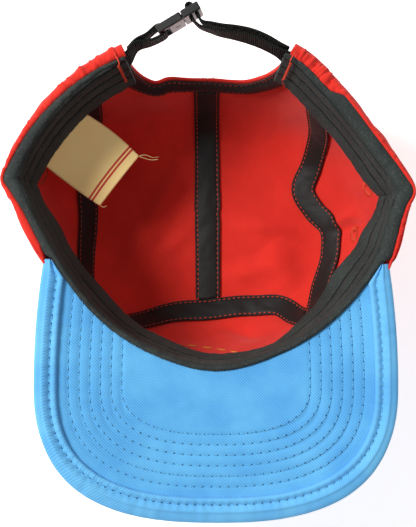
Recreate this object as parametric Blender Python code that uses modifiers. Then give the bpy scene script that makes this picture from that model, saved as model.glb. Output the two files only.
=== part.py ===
"""Five-panel camp cap with a flat brim, lying on its crown with the opening upwards.

Metres, +Z up. The brim points to -Y, the strap closes the back at +Y, and the crown's flat top rests on z = 0.

The crown is one cloth surface, worked out from a flat pattern: a disc whose middle is the middle of the crown's top
and whose edge, at radius 1, is the open rim. Seams are drawn on the pattern, and panels, tapes and sweatband follow it.
"""

import math
from collections import namedtuple

import bmesh
import bpy
import numpy as np
from mathutils import Vector
from mathutils.bvhtree import BVHTree

# Crown: its depth from the table to the rim, and the reach of its rim and of its flat top from the crown's middle.
CROWN_HEIGHT = 0.096
CROWN_MIDDLE_Y = 0.030
RIM_HALF_WIDTH = 0.1025
RIM_FRONT = 0.0875
RIM_BACK = 0.078
TOP_HALF_WIDTH = 0.072
TOP_FRONT = 0.062
TOP_BACK = 0.052
TOP_SQUARENESS = 2.6
FRONT_BELLY = 0.010
SIDE_BELLY = 0.006
BACK_BELLY = 0.001
FOLD_DEPTH = 0.006

# Cloth: the panels' wall, the folded hem along the rim, and the gaps that the sewn pieces keep.
CLOTH = 0.0012
HEM = 0.0028
HEM_DEPTH = 0.009
RIM_TURN = 0.0012
GAP = 0.0003
SEAM_GAP = 0.0005
TAPE_STANDOFF = 0.0010
TAPE_WIDTH = 0.0135
OPENING_TAPE_WIDTH = 0.0090
TAPE = 0.0010

# Sweatband.
BAND_WIDTH = 0.032
BAND = 0.0020
BAND_LEAN = 0.0100
BAND_LEFT_TAB = -0.0010
BAND_RIGHT_TAB = 0.0025

# Back opening, measured down the wall from the rim.
OPENING_DEPTH = 0.050

# Brim, finished size, and its board, binding and arch.
BRIM_MIDDLE_X = 0.0040
BRIM_HALF_WIDTH = 0.0925
BRIM_FRONT = 0.132
BRIM_WIDEST = 0.062
BRIM_TAPER = 0.0065
BRIM_SQUARENESS = 2.5
BRIM_SEAM_HALF_WIDTH = 0.086
BRIM_ARCH = 0.008
BOARD = 0.0032
BINDING = 0.0013
BINDING_LEG = 0.0085

# Strap and buckle. The buckle's place is its middle. It is turned in plan, and its plug's end is tilted up. The slack is
# how far the right piece hangs, the knob how far its turn round the plug's bar stands out, the bows how far the left
# piece's strands bend outwards, and the opening how far its outer strand stands off beside the socket.
WEBBING_WIDTH = 0.015
WEBBING = 0.0012
WEBBING_POCKET = 0.010
STRAP_DROP = 0.0008
STRAP_SLACK = 0.0050
STRAP_LEFT_INNER_BOW = 0.0028
STRAP_LEFT_OUTER_BOW = 0.0010
STRAP_LEFT_OPENS = 0.0035
STRAP_OPENS = 0.0004
STRAP_CLOSES = 0.007
STRAP_TILT = math.radians(5)
STRAP_KNOB = 0.0024
BUCKLE_X = -0.0146
BUCKLE_Y = 0.1250
BUCKLE_TURN = math.radians(30)
BUCKLE_TILT = math.radians(5)
BUCKLE_LENGTH = 0.0248
BUCKLE_WIDTH = 0.0205
BUCKLE_THICKNESS = 0.0044
BUCKLE_BAR = 0.0024
BUCKLE_SLOT = 0.0038
BUCKLE_SHARE = 0.58
BUCKLE_ROUNDING = 0.0007
BUCKLE_WALL = 0.0011
PLUG_END = 0.0018
PLUG_SLOT = 0.0021
PLUG_BAR = 0.0014
BUTTON_LENGTH = 0.0056
BUTTON_WIDTH = 0.0090
CATCH_HOLE = 0.0013
CATCH_HOLE_LENGTH = 0.0028

# Eyelets, sewn round holes in the side panels.
EYELET_HOLE = 0.0020
EYELET_NECK = 0.0028
EYELET_FLANGE = 0.0048
EYELET_SIDES = 12

# Woven label under the sweatband's free edge, and how far its free end drops.
LABEL_LENGTH = 0.039
LABEL_SAG = 0.017
LABEL = 0.0010

# How strongly the rim's grid lines crowd where the rim turns, as the length that a turn of one radian counts for.
RIM_CROWDING = 0.016

# Steps of the panels' grids: along a whole side seam, along the part of it that runs down the back wall, along the
# seam between side and front panels, and along one half of the cross seam.
SEAM_STEPS = 27
WALL_STEPS = 7
CROSS_STEPS = 10

# The pattern's ring that becomes the shoulder between top and wall, and the share of both that its rounding takes.
SHOULDER_RING = 0.5
SHOULDER_SHARE = 0.24

BACK_CORNER_ANGLE = math.radians(61.2)
BRIM_SEAT = BOARD + 3 * GAP
BRIM_SEAT_FADE = math.radians(3.5)

# Half outlines of the rim, from the front round each side to the back. across is a share of RIM_HALF_WIDTH, along one
# of RIM_FRONT where it is negative and of RIM_BACK where it isn't.
RimRow = namedtuple("RimRow", "place left_across left_along right_across right_along")
RIM_OUTLINE = (
    RimRow("front middle", -0.04, -1.000, 0.04, -1.000),
    RimRow("front quarter", 0.32, -0.880, 0.40, -0.880),
    RimRow("brim shoulder", 0.58, -0.660, 0.67, -0.660),
    RimRow("brim tail", 0.80, -0.310, 0.89, -0.320),
    RimRow("before the fold", 0.970, 0.080, 0.975, 0.000),
    RimRow("side fold", 1.000, 0.165, 1.000, 0.085),
    RimRow("after the fold", 0.975, 0.260, 0.955, 0.200),
    RimRow("back side", 0.87, 0.510, 0.78, 0.510),
    RimRow("back quarter", 0.68, 0.790, 0.62, 0.770),
    RimRow("back corner", 0.425, 1.000, 0.425, 1.000),
    RimRow("back middle", 0.00, 1.120, 0.00, 1.120),
)

# Seams on the pattern, given for the right half and for the left half with its across turned positive.
SeamRow = namedtuple("SeamRow", "place left_across left_along right_across right_along")
SIDE_SEAM = (
    SeamRow("back rim", 0.707, 0.707, 0.707, 0.707),
    SeamRow("under the sweatband", 0.620, 0.555, 0.590, 0.560),
    SeamRow("back wall", 0.556, 0.410, 0.535, 0.380),
    SeamRow("back shoulder", 0.522, 0.250, 0.450, 0.205),
    SeamRow("side", 0.511, 0.080, 0.393, 0.095),
    SeamRow("side middle", 0.510, 0.000, 0.440, 0.015),
    SeamRow("side front", 0.516, -0.100, 0.508, -0.060),
    SeamRow("front shoulder", 0.530, -0.230, 0.505, -0.180),
    SeamRow("front wall", 0.550, -0.370, 0.480, -0.330),
    SeamRow("junction", 0.560, -0.540, 0.500, -0.500),
)
JUNCTION_SEAM = (
    SeamRow("junction", 0.560, -0.540, 0.500, -0.500),
    SeamRow("front wall", 0.680, -0.585, 0.650, -0.565),
    SeamRow("front rim", 0.798, -0.603, 0.798, -0.603),
)
CROSS_SEAM = (
    SeamRow("middle", 0.000, -0.470, 0.000, -0.470),
    SeamRow("quarter", 0.160, -0.468, 0.200, -0.425),
    SeamRow("shoulder", 0.300, -0.500, 0.310, -0.415),
    SeamRow("wall", 0.420, -0.535, 0.400, -0.470),
    SeamRow("junction", 0.560, -0.540, 0.500, -0.500),
)

# Half outlines of the back opening, from its middle to the back corners: the share of the turn to the corner, and the
# depth below the rim as a share of OPENING_DEPTH.
OpeningRow = namedtuple("OpeningRow", "place left_share left_depth right_share right_depth")
OPENING = (
    OpeningRow("middle", 0.00, 1.00, 0.00, 1.00),
    OpeningRow("quarter", 0.31, 0.96, 0.33, 1.03),
    OpeningRow("half", 0.60, 0.86, 0.56, 1.01),
    OpeningRow("before the turn", 0.78, 0.88, 0.72, 0.91),
    OpeningRow("turn", 0.90, 0.78, 0.87, 0.72),
    OpeningRow("past the turn", 0.98, 0.56, 0.95, 0.48),
    OpeningRow("below the corner", 1.00, 0.28, 0.99, 0.24),
    OpeningRow("corner", 1.00, 0.00, 1.00, 0.00),
)

# Soft dents of the cloth, pushed into the hollow. Places and spreads are on the pattern, push is a share of FOLD_DEPTH.
FoldRow = namedtuple("FoldRow", "place across along spread_across spread_along push")
FOLDS = (
    FoldRow("right side buckle", 0.50, 0.12, 0.13, 0.11, 0.5),
    FoldRow("right side swell", 0.60, -0.16, 0.16, 0.12, -0.4),
    FoldRow("right front crease", 0.34, -0.28, 0.09, 0.12, 0.4),
    FoldRow("left front crease", -0.34, -0.26, 0.12, 0.09, 0.4),
    FoldRow("left side hollow", -0.68, 0.18, 0.12, 0.14, 0.5),
    FoldRow("back wrinkle", -0.26, 0.66, 0.10, 0.10, 0.5),
    FoldRow("front left dimple", -0.27, -0.66, 0.10, 0.08, 0.4),
)

# Eyelets on the pattern: the angle from the cap's side, positive towards the back, and the distance from the middle.
EyeletRow = namedtuple("EyeletRow", "place left_degrees left_radius right_degrees right_radius")
EYELETS = (
    EyeletRow("front", -9.0, 0.69, -9.0, 0.625),
    EyeletRow("back", 11.0, 0.765, 7.5, 0.715),
)

# How far the sweatband's free edge leans into the hollow, as a share of BAND_LEAN, by direction: the angle from the
# cap's right side, positive towards the back.
LeanRow = namedtuple("LeanRow", "place degrees share")
LEANS = (
    LeanRow("left back corner", -240, 0.0),
    LeanRow("left back", -208, 0.2),
    LeanRow("left fold", -184, 0.0),
    LeanRow("past the left fold", -168, 0.45),
    LeanRow("left front", -140, 0.87),
    LeanRow("front left quarter", -112, 0.55),
    LeanRow("front middle", -88, 0.25),
    LeanRow("front right quarter", -66, 0.08),
    LeanRow("right front corner", -46, 0.60),
    LeanRow("right front", -28, 1.0),
    LeanRow("before the right fold", -12, 0.60),
    LeanRow("right fold", 0, 0.0),
    LeanRow("past the right fold", 14, 0.45),
    LeanRow("right back", 36, 0.38),
    LeanRow("right back corner", 58, 0.0),
)

# How the right strap hangs between the plug's bar and the crown's back corner: places as shares of the straight way
# from the bar, offsets outwards as shares of STRAP_SLACK, and how its top edge tilts outwards as a share of STRAP_TILT.
HangRow = namedtuple("HangRow", "place share offset tilt")
STRAP_HANGS = (
    HangRow("below the bar", 0.12, -0.70, -1.2),
    HangRow("bend", 0.21, -0.55, -0.6),
    HangRow("past the bend", 0.31, -0.35, 0.0),
    HangRow("before the middle", 0.44, 0.06, 0.6),
    HangRow("past the middle", 0.58, 0.38, 1.0),
    HangRow("towards the corner", 0.73, 0.50, 1.0),
    HangRow("at the corner", 0.88, 0.40, 1.0),
)

# The label's sewn edge, between two directions seen from the crown's middle, and the turn of its run from straight in.
LABEL_FROM = math.radians(164.5)
LABEL_TO = math.radians(142.0)
LABEL_DIRECTION = math.radians(-37)

HOLLOW_MIDDLE = Vector((0, CROWN_MIDDLE_Y, CROWN_HEIGHT / 2))


def clear_scene():
    for old in list(bpy.data.objects):
        bpy.data.objects.remove(old)


def collection(name):
    made = bpy.data.collections.new(name)
    bpy.context.scene.collection.children.link(made)
    return made


def material(name, colour, roughness, metallic=0.0):
    made = bpy.data.materials.new(name)
    made.use_nodes = True
    shader = made.node_tree.nodes["Principled BSDF"]
    shader.inputs["Base Color"].default_value = (*colour, 1)
    shader.inputs["Roughness"].default_value = roughness
    shader.inputs["Metallic"].default_value = metallic
    return made


def smooth_line(points, steps):
    """Points on a smooth curve through the given ones, steps to each span."""
    ends = [2 * points[0] - points[1], *points, 2 * points[-1] - points[-2]]
    made = []
    for before, start, end, after in zip(ends, ends[1:], ends[2:], ends[3:]):
        for step in range(steps):
            made.append(spline_point(before, start, end, after, step / steps))
    return [*made, points[-1].copy()]


def spline_point(before, start, end, after, share):
    """Centripetal Catmull-Rom between start and end."""
    t0 = 0.0
    t1 = t0 + max((start - before).length, 1e-9) ** 0.5
    t2 = t1 + max((end - start).length, 1e-9) ** 0.5
    t3 = t2 + max((after - end).length, 1e-9) ** 0.5
    t = t1 + (t2 - t1) * share
    a1 = before.lerp(start, (t - t0) / (t1 - t0))
    a2 = start.lerp(end, (t - t1) / (t2 - t1))
    a3 = end.lerp(after, (t - t2) / (t3 - t2))
    b1 = a1.lerp(a2, (t - t0) / (t2 - t0))
    b2 = a2.lerp(a3, (t - t1) / (t3 - t1))
    return b1.lerp(b2, (t - t1) / (t2 - t1))


def lengths_along(points):
    total = [0.0]
    for start, end in zip(points, points[1:]):
        total.append(total[-1] + (end - start).length)
    return total


def evenly_spaced(points, count):
    """count + 1 points at equal steps along a polyline."""
    along = lengths_along(points)
    at = np.linspace(0, along[-1], count + 1)
    axes = [np.interp(at, along, [point[axis] for point in points]) for axis in range(len(points[0]))]
    return [Vector(values) for values in zip(*axes)]


def rim_plan(row, side):
    """Plan position of one row of the rim's outline, from the crown's middle. side is 1 at the right, -1 at the left."""
    across, along = (row.right_across, row.right_along) if side > 0 else (row.left_across, row.left_along)
    reach = RIM_FRONT if along < 0 else RIM_BACK
    return Vector((side * across * RIM_HALF_WIDTH, along * reach))


def rim_table():
    """Directions and radii of the whole rim seen from the crown's middle, and a running measure for sampling it.

    The measure grows with length and with turning, so that even steps of it crowd at the side folds."""
    steps = 24
    right = [rim_plan(row, 1) for row in RIM_OUTLINE]
    left = [rim_plan(row, -1) for row in RIM_OUTLINE]
    round_once = left[::-1] + right[1:-1]
    twice_more = round_once[-2:] + round_once + round_once[:3]
    ring = smooth_line(twice_more, steps)[2 * steps : -2 * steps]
    angles, radii, measure = [], [], [0.0]
    for point in ring:
        angle = math.atan2(point.y, point.x)
        while angles and angle < angles[-1] - math.pi:
            angle += 2 * math.pi
        angles.append(angle)
        radii.append(point.length)
    for before, here, after in zip(ring, ring[1:], [*ring[2:], ring[1]]):
        turn = (here - before).angle(after - here, 0.0)
        measure.append(measure[-1] + (here - before).length + RIM_CROWDING * turn)
    return np.array(angles), np.array(radii), np.array(measure)


RIM_ANGLES, RIM_RADII, RIM_MEASURE = rim_table()


def wrapped(angle):
    """The same direction within the rim table's turn, which starts at the back middle."""
    first = RIM_ANGLES[0]
    return first + (angle - first) % (2 * math.pi)


def rim_radius(angle):
    return float(np.interp(wrapped(angle), RIM_ANGLES, RIM_RADII))


def rim_directions(start, end, count):
    """count + 1 directions from start to end, crowded where the rim turns. Both are within the rim table's turn."""
    low, high = np.interp([start, end], RIM_ANGLES, RIM_MEASURE)
    return [float(a) for a in np.interp(np.linspace(low, high, count + 1), RIM_MEASURE, RIM_ANGLES)]


def top_radius(angle):
    reach = TOP_BACK if math.sin(angle) > 0 else TOP_FRONT
    across = abs(math.cos(angle)) / TOP_HALF_WIDTH
    along = abs(math.sin(angle)) / reach
    return (across**TOP_SQUARENESS + along**TOP_SQUARENESS) ** (-1 / TOP_SQUARENESS)


def brim_top(x):
    """Height of the brim's upward face, arched so that its middle lies lowest."""
    return CROWN_HEIGHT - BRIM_ARCH * (1 - ((x - BRIM_MIDDLE_X) / BRIM_SEAM_HALF_WIDTH) ** 2)


def rim_height(angle):
    x = rim_radius(angle) * math.cos(angle)
    return min(brim_top(x), CROWN_HEIGHT) if math.sin(angle) < 0 else CROWN_HEIGHT


def belly(angle):
    """How far the wall stands out between shoulder and rim, in that direction."""
    end = BACK_BELLY if math.sin(angle) > 0 else FRONT_BELLY
    return SIDE_BELLY + (end - SIDE_BELLY) * math.sin(angle) ** 2


def wall_length(angle):
    """Length of the wall from the shoulder's corner to the rim, measured straight."""
    return math.hypot(rim_radius(angle) - top_radius(angle), rim_height(angle) - CLOTH)


def smooth_cloth(across, along):
    """The inner face of the crown at a pattern point, without its dents."""
    radius = math.hypot(across, along)
    angle = math.atan2(along, across)
    low, high, rise = top_radius(angle), rim_radius(angle), rim_height(angle) - CLOTH
    bend_start = SHOULDER_RING * (1 - SHOULDER_SHARE)
    bend_end = SHOULDER_RING + (1 - SHOULDER_RING) * SHOULDER_SHARE
    if radius <= bend_start:
        reach, lift = low * radius / SHOULDER_RING, 0.0
    elif radius >= bend_end:
        share = (radius - SHOULDER_RING) / (1 - SHOULDER_RING)
        reach, lift = low + (high - low) * share, rise * share
        reach += 4 * belly(angle) * share * (1 - share)
    else:
        t = (radius - bend_start) / (bend_end - bend_start)
        inner = low * (1 - SHOULDER_SHARE)
        outer = low + (high - low) * SHOULDER_SHARE + 4 * belly(angle) * SHOULDER_SHARE * (1 - SHOULDER_SHARE)
        reach = (1 - t) ** 2 * inner + 2 * t * (1 - t) * low + t**2 * outer
        lift = t**2 * rise * SHOULDER_SHARE
    return Vector((reach * math.cos(angle), CROWN_MIDDLE_Y + reach * math.sin(angle), CLOTH + lift))


def slopes(surface, across, along):
    """How a surface moves for a small step across and a small step along on the pattern."""
    step = 0.004
    by_across = (surface(across + step, along) - surface(across - step, along)) / (2 * step)
    by_along = (surface(across, along + step) - surface(across, along - step)) / (2 * step)
    return by_across, by_along


def inward(surface, across, along):
    by_across, by_along = slopes(surface, across, along)
    return by_across.cross(by_along).normalized()


def dent(across, along):
    total = 0.0
    for fold in FOLDS:
        away = ((across - fold.across) / fold.spread_across) ** 2 + ((along - fold.along) / fold.spread_along) ** 2
        total += fold.push * FOLD_DEPTH * math.exp(-away)
    return total


def cloth(across, along):
    """The inner face of the crown at a pattern point."""
    return smooth_cloth(across, along) + inward(smooth_cloth, across, along) * dent(across, along)


def off_cloth(across, along, distance):
    """A point that far inside the crown's inner face."""
    return cloth(across, along) + inward(cloth, across, along) * distance


def on_wall(angle, depth):
    """The pattern point on the wall in that direction, that far down from the nominal rim."""
    radius = 1 - (1 - SHOULDER_RING) * depth / wall_length(angle)
    return Vector((radius * math.cos(angle), radius * math.sin(angle)))


def stepped_aside(place, direction, distance):
    """The pattern point reached from place by going that far on the cloth in a 3-D direction."""
    steps = 3
    for _ in range(steps):
        by_across, by_along = slopes(cloth, place.x, place.y)
        aa, ab, bb = by_across.dot(by_across), by_across.dot(by_along), by_along.dot(by_along)
        want = direction * (distance / steps)
        ra, rb = by_across.dot(want), by_along.dot(want)
        scale = aa * bb - ab * ab
        place = place + Vector(((ra * bb - rb * ab) / scale, (rb * aa - ra * ab) / scale))
    return place


def brim_seat(angle):
    """How far the panels' edge stays below the nominal rim to let the brim lie on it."""
    past = math.asin(math.sin(angle)) - BRIM_END_ANGLE
    share = min(max(1 - past / BRIM_SEAT_FADE, 0.0), 1.0)
    return share * BRIM_SEAT


def panel_edge(angle):
    return on_wall(angle, brim_seat(angle))


def opening_line(side):
    """Points along the table's half outline of the back opening, and how far along it each lies, as shares."""
    rows = [
        Vector((row.right_share, row.right_depth)) if side > 0 else Vector((row.left_share, row.left_depth))
        for row in OPENING
    ]
    line = smooth_line(rows, 12)
    along = np.array(lengths_along(line))
    return along / along[-1], [point.x for point in line], [point.y for point in line]


OPENING_LINES = {side: opening_line(side) for side in (-1, 1)}


def opening_edge(share, side):
    """The back opening's edge on the pattern, share 0 at its middle and 1 at the back corner of that side."""
    along, turns, depths = OPENING_LINES[side]
    angle = math.pi / 2 - side * float(np.interp(share, along, turns)) * (math.pi / 2 - BACK_CORNER_ANGLE)
    return on_wall(angle, OPENING_DEPTH * float(np.interp(share, along, depths)))


def seam_points(rows, side):
    return [
        Vector((row.right_across, row.right_along)) if side > 0 else Vector((-row.left_across, row.left_along))
        for row in rows
    ]


def grid_object(name, rows, shade, group, outwards):
    """A grid of points as an open surface whose faces look away from the hollow, or into it."""
    mesh = bpy.data.meshes.new(name)
    form = bmesh.new()
    corners = [[form.verts.new(point) for point in row] for row in rows]
    for row, following in zip(corners, corners[1:]):
        for a, b, c, d in zip(row, row[1:], following[1:], following):
            form.faces.new((a, b, c, d))
    form.normal_update()
    looks = sum(face.normal.dot(face.calc_center_median() - HOLLOW_MIDDLE) * face.calc_area() for face in form.faces)
    if (looks > 0) != outwards:
        bmesh.ops.reverse_faces(form, faces=form.faces[:])
    form.to_mesh(mesh)
    form.free()
    return mesh_object(name, mesh, shade, group)


def mesh_object(name, mesh, shade, group):
    mesh.materials.append(shade)
    mesh.shade_smooth()
    mesh.set_sharp_from_angle(angle=math.radians(50))
    made = bpy.data.objects.new(name, mesh)
    group.objects.link(made)
    return made


def thicken(made, thickness):
    """Gives an open surface its wall, on the side that its faces look to."""
    wall = made.modifiers.new("wall", "SOLIDIFY")
    wall.thickness = thickness
    wall.offset = 1
    wall.use_rim = True
    return wall


def patch(back, front, first, last):
    """Pattern points between four lines of points: back and front run across, first and last from back to front."""
    rows = []
    for j, (start, end) in enumerate(zip(first, last)):
        v = j / (len(first) - 1)
        row = []
        for i, (far, near) in enumerate(zip(back, front)):
            u = i / (len(back) - 1)
            ruled = far * (1 - v) + near * v + start * (1 - u) + end * u
            corners = (back[0] * (1 - u) + back[-1] * u) * (1 - v) + (front[0] * (1 - u) + front[-1] * u) * v
            row.append(ruled - corners)
        rows.append(row)
    return rows


def pulled_in(rows, back, front, first, last):
    """The patch with its seam sides drawn back by half a seam gap. Each flag says whether that side is a seam."""

    def drawn(line, start, end):
        solid = [cloth(*place) for place in line]
        if start:
            line[0] = line[0].lerp(line[1], SEAM_GAP / 2 / (solid[1] - solid[0]).length)
        if end:
            line[-1] = line[-1].lerp(line[-2], SEAM_GAP / 2 / (solid[-1] - solid[-2]).length)
        return line

    rows = [drawn(row, first, last) for row in rows]
    columns = [drawn(list(column), back, front) for column in zip(*rows)]
    return [list(row) for row in zip(*columns)]


def panel(name, rows, group, shade):
    """A crown panel: its pattern points on the cloth, with a wall outwards that is thicker along the hem."""
    made = grid_object(name, [[cloth(*place) for place in row] for row in rows], shade, group, outwards=True)
    hem = made.vertex_groups.new(name="hem")
    places = [place for row in rows for place in row]
    for index, place in enumerate(places):
        angle = math.atan2(place.y, place.x)
        depth = (1 - place.length) / (1 - SHOULDER_RING) * wall_length(angle)
        bare = 1 - brim_seat(angle) / BRIM_SEAT
        hem.add([index], bare * min(max(2 - depth / HEM_DEPTH, 0.0), 1.0), "REPLACE")
    wall = thicken(made, HEM)
    wall.vertex_group = hem.name
    wall.thickness_vertex_group = CLOTH / HEM
    return made


def rim_side(start, end, count):
    """The panels' edge along the rim between two directions, as pattern points."""
    return [panel_edge(angle) for angle in rim_directions(start, end, count)]


def side_angle(angle, side):
    """A direction given for the right side, as it is on that side and within the rim table's turn."""
    return wrapped(angle if side > 0 else math.pi - angle)


def seam_direction(row, side):
    """The direction of a seam's place seen from the crown's middle, within the rim table's turn."""
    place = seam_points([row], side)[0]
    return wrapped(math.atan2(place.y, place.x))


def side_seam(side):
    """Places along a side seam, from the rim at the back to the junction with the cross seam."""
    seam = evenly_spaced(smooth_line(seam_points(SIDE_SEAM, side), 8), SEAM_STEPS)
    seam[0] = panel_edge(seam_direction(SIDE_SEAM[0], side))
    return seam


def junction_seam(side):
    """Places along the seam between a side panel and the front panel, from the junction to the rim."""
    seam = evenly_spaced(smooth_line(seam_points(JUNCTION_SEAM, side), 8), WALL_STEPS)
    seam[-1] = panel_edge(seam_direction(JUNCTION_SEAM[-1], side))
    return seam


def whole_cross_seam(steps):
    """Places along the whole cross seam, from the left junction to the right one, steps to each row of its table."""
    return smooth_line(seam_points(CROSS_SEAM, -1)[::-1] + seam_points(CROSS_SEAM, 1)[1:], steps)


def cross_seam(side):
    """Places along one half of the cross seam, from its middle to the junction."""
    whole = whole_cross_seam(8)
    middle = len(whole) // 2
    half = whole[middle:] if side > 0 else whole[: middle + 1][::-1]
    return evenly_spaced(half, CROSS_STEPS)


def build_top_panel(side, group, shade):
    rim_steps = 3
    arc = evenly_spaced([opening_edge(share / 48, side) for share in range(49)], CROSS_STEPS - rim_steps)
    corner = side_angle(BACK_CORNER_ANGLE, side)
    end = seam_direction(SIDE_SEAM[0], side)
    rim = [panel_edge(corner + (end - corner) * step / rim_steps) for step in range(rim_steps + 1)]
    front = cross_seam(side)
    middle = evenly_spaced([arc[0], front[0]], SEAM_STEPS)
    rows = patch(arc + rim[1:], front, middle, side_seam(side))
    rows = pulled_in(rows, back=False, front=True, first=True, last=True)
    return panel("top_panel_right" if side > 0 else "top_panel_left", rows, group, shade)


def build_side_panel(side, group, shade):
    seam = side_seam(side)
    junction = junction_seam(side)
    back_start = seam_direction(SIDE_SEAM[0], side)
    front_end = seam_direction(JUNCTION_SEAM[-1], side)
    rim = rim_side(back_start, front_end, SEAM_STEPS - WALL_STEPS)
    rows = patch(rim, seam[WALL_STEPS:], seam[: WALL_STEPS + 1], junction[::-1])
    rows = pulled_in(rows, back=False, front=True, first=True, last=True)
    return panel("side_panel_right" if side > 0 else "side_panel_left", rows, group, shade)


def build_front_panel(group, shade):
    top = cross_seam(-1)[::-1] + cross_seam(1)[1:]
    start = seam_direction(JUNCTION_SEAM[-1], -1)
    end = seam_direction(JUNCTION_SEAM[-1], 1)
    rim = rim_side(start, end, 2 * CROSS_STEPS)
    rows = patch(rim, top, junction_seam(-1)[::-1], junction_seam(1)[::-1])
    rows = pulled_in(rows, back=False, front=True, first=True, last=True)
    return panel("front_panel", rows, group, shade)


def distance_to_line(point, line):
    """Distance from a point to a polyline in space."""
    starts = np.array([tuple(p) for p in line[:-1]])
    spans = np.array([tuple(p) for p in line[1:]]) - starts
    away = np.array(tuple(point)) - starts
    shares = np.clip((away * spans).sum(axis=1) / (spans * spans).sum(axis=1), 0, 1)
    return float(np.linalg.norm(away - spans * shares[:, None], axis=1).min())


def tape_lines(seam, width, count, crossed):
    """The two edges and the middle of a tape along a seam, cut off beside the tapes that it would cross.

    The tapes that it would cross are given as their middle lines and widths."""
    fine = evenly_on_cloth(seam, 4 * count)
    solid = [cloth(*place) for place in fine]
    lines = [[], [], []]
    for index, place in enumerate(fine):
        run = (solid[min(index + 1, len(fine) - 1)] - solid[max(index - 1, 0)]).normalized()
        aside = inward(cloth, place.x, place.y).cross(run).normalized()
        for line, share in zip(lines, (-0.5, 0, 0.5)):
            edge = below_rim(stepped_aside(place, aside, width * share))
            point = cloth(*edge)
            if all(distance_to_line(point, other) > across / 2 + 2 * GAP for other, across in crossed):
                line.append(edge)
    return [evenly_spaced(line, count) for line in lines]


def below_rim(place):
    """A tape's pattern point, moved down where it would reach the brim or the turned rim."""
    angle = math.atan2(place.y, place.x)
    limit = on_wall(angle, RIM_TURN + brim_seat(angle)).length
    return place * min(1.0, limit / place.length)


def tape(name, seam, width, count, group, shade, crossed=()):
    """A tape laid over a seam on the inside."""
    lines = tape_lines(seam, width, count, crossed)
    rows = [[off_cloth(*edge, TAPE_STANDOFF) for edge in places] for places in zip(*lines)]
    made = grid_object(name, rows, shade, group, outwards=False)
    thicken(made, TAPE)
    return made


def evenly_on_cloth(seam, count):
    """count + 1 pattern points at equal steps of real length along a line of pattern points."""
    fine = evenly_spaced(seam, 6 * count)
    along = lengths_along([cloth(*place) for place in fine])
    at = np.linspace(0, along[-1], count + 1)
    return [Vector((np.interp(s, along, [f.x for f in fine]), np.interp(s, along, [f.y for f in fine]))) for s in at]


def trimmed(seam, start, end):
    """A line of pattern points without that much real length at its two ends."""
    fine = evenly_spaced(seam, 200)
    along = lengths_along([cloth(*place) for place in fine])
    return [place for place, s in zip(fine, along) if start <= s <= along[-1] - end]


def build_tapes(group, shade):
    side_lines = []
    for side, name in ((-1, "side_seam_tape_left"), (1, "side_seam_tape_right")):
        seam = trimmed(smooth_line(seam_points(SIDE_SEAM + JUNCTION_SEAM[1:], side), 10), RIM_TURN, RIM_TURN)
        tape(name, seam, TAPE_WIDTH, 30, group, shade)
        side_lines.append(([cloth(*place) for place in seam], TAPE_WIDTH))
    cross = whole_cross_seam(12)
    tape("cross_seam_tape", cross, TAPE_WIDTH, 16, group, shade, crossed=side_lines)
    cross_line = ([cloth(*place) for place in cross], TAPE_WIDTH)
    opening = opening_tape_middle()
    tape("opening_tape", opening, OPENING_TAPE_WIDTH, 22, group, shade)
    opening_line = ([cloth(*place) for place in opening], OPENING_TAPE_WIDTH)
    middle = [opening[len(opening) // 2], cross[len(cross) // 2]]
    tape("middle_seam_tape", middle, TAPE_WIDTH, 18, group, shade, crossed=[cross_line, opening_line])


def opening_tape_middle():
    """Pattern points along the middle of the back opening's tape, between the two ends of the strap."""
    start = 0.992
    fine = [opening_edge(abs(s), 1 if s > 0 else -1) for s in np.linspace(-start, start, 161)]
    below_strap = STRAP_DROP + WEBBING_WIDTH + 2 * GAP
    kept = [place for place in fine if cloth(*place).z < CROWN_HEIGHT - below_strap]
    middle = []
    solid = [cloth(*place) for place in kept]
    for index, place in enumerate(kept):
        run = (solid[min(index + 1, len(kept) - 1)] - solid[max(index - 1, 0)]).normalized()
        aside = run.cross(inward(cloth, place.x, place.y)).normalized()
        middle.append(stepped_aside(place, aside, OPENING_TAPE_WIDTH / 2 + GAP))
    return middle


def band_standoff():
    """Distance from the panels' inner face to the sweatband's outer face, with a tape between them."""
    return TAPE_STANDOFF + TAPE + TAPE_STANDOFF


def band_directions(count):
    """Directions round the rim from the left back corner over the front to the right one, with a tab past each."""
    radius = rim_radius(BACK_CORNER_ANGLE)
    start = side_angle(BACK_CORNER_ANGLE, -1) - BAND_LEFT_TAB / radius
    end = side_angle(BACK_CORNER_ANGLE, 1) + BAND_RIGHT_TAB / radius
    return rim_directions(start, end, count)


def band_lean(angle):
    """How far the sweatband's free edge leans into the hollow in that direction."""
    degrees = (math.degrees(angle) - LEANS[0].degrees) % 360 + LEANS[0].degrees
    for before, after in zip(LEANS, LEANS[1:]):
        if degrees <= after.degrees:
            share = (degrees - before.degrees) / (after.degrees - before.degrees)
            eased = share * share * (3 - 2 * share)
            return BAND_LEAN * (before.share + (after.share - before.share) * eased)
    return BAND_LEAN * LEANS[-1].share


def band_point(angle, depth):
    place = on_wall(angle, depth)
    lean = band_lean(angle) * (max(depth, 0) / BAND_WIDTH) ** 1.5
    return off_cloth(place.x, place.y, band_standoff() + lean)


def build_sweatband(group, shade):
    downs = 3
    rows = [
        [band_point(angle, BAND_WIDTH * down / downs) for down in range(downs + 1)] for angle in band_directions(60)
    ]
    made = grid_object("sweatband", rows, shade, group, outwards=False)
    thicken(made, BAND)
    return made


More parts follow.
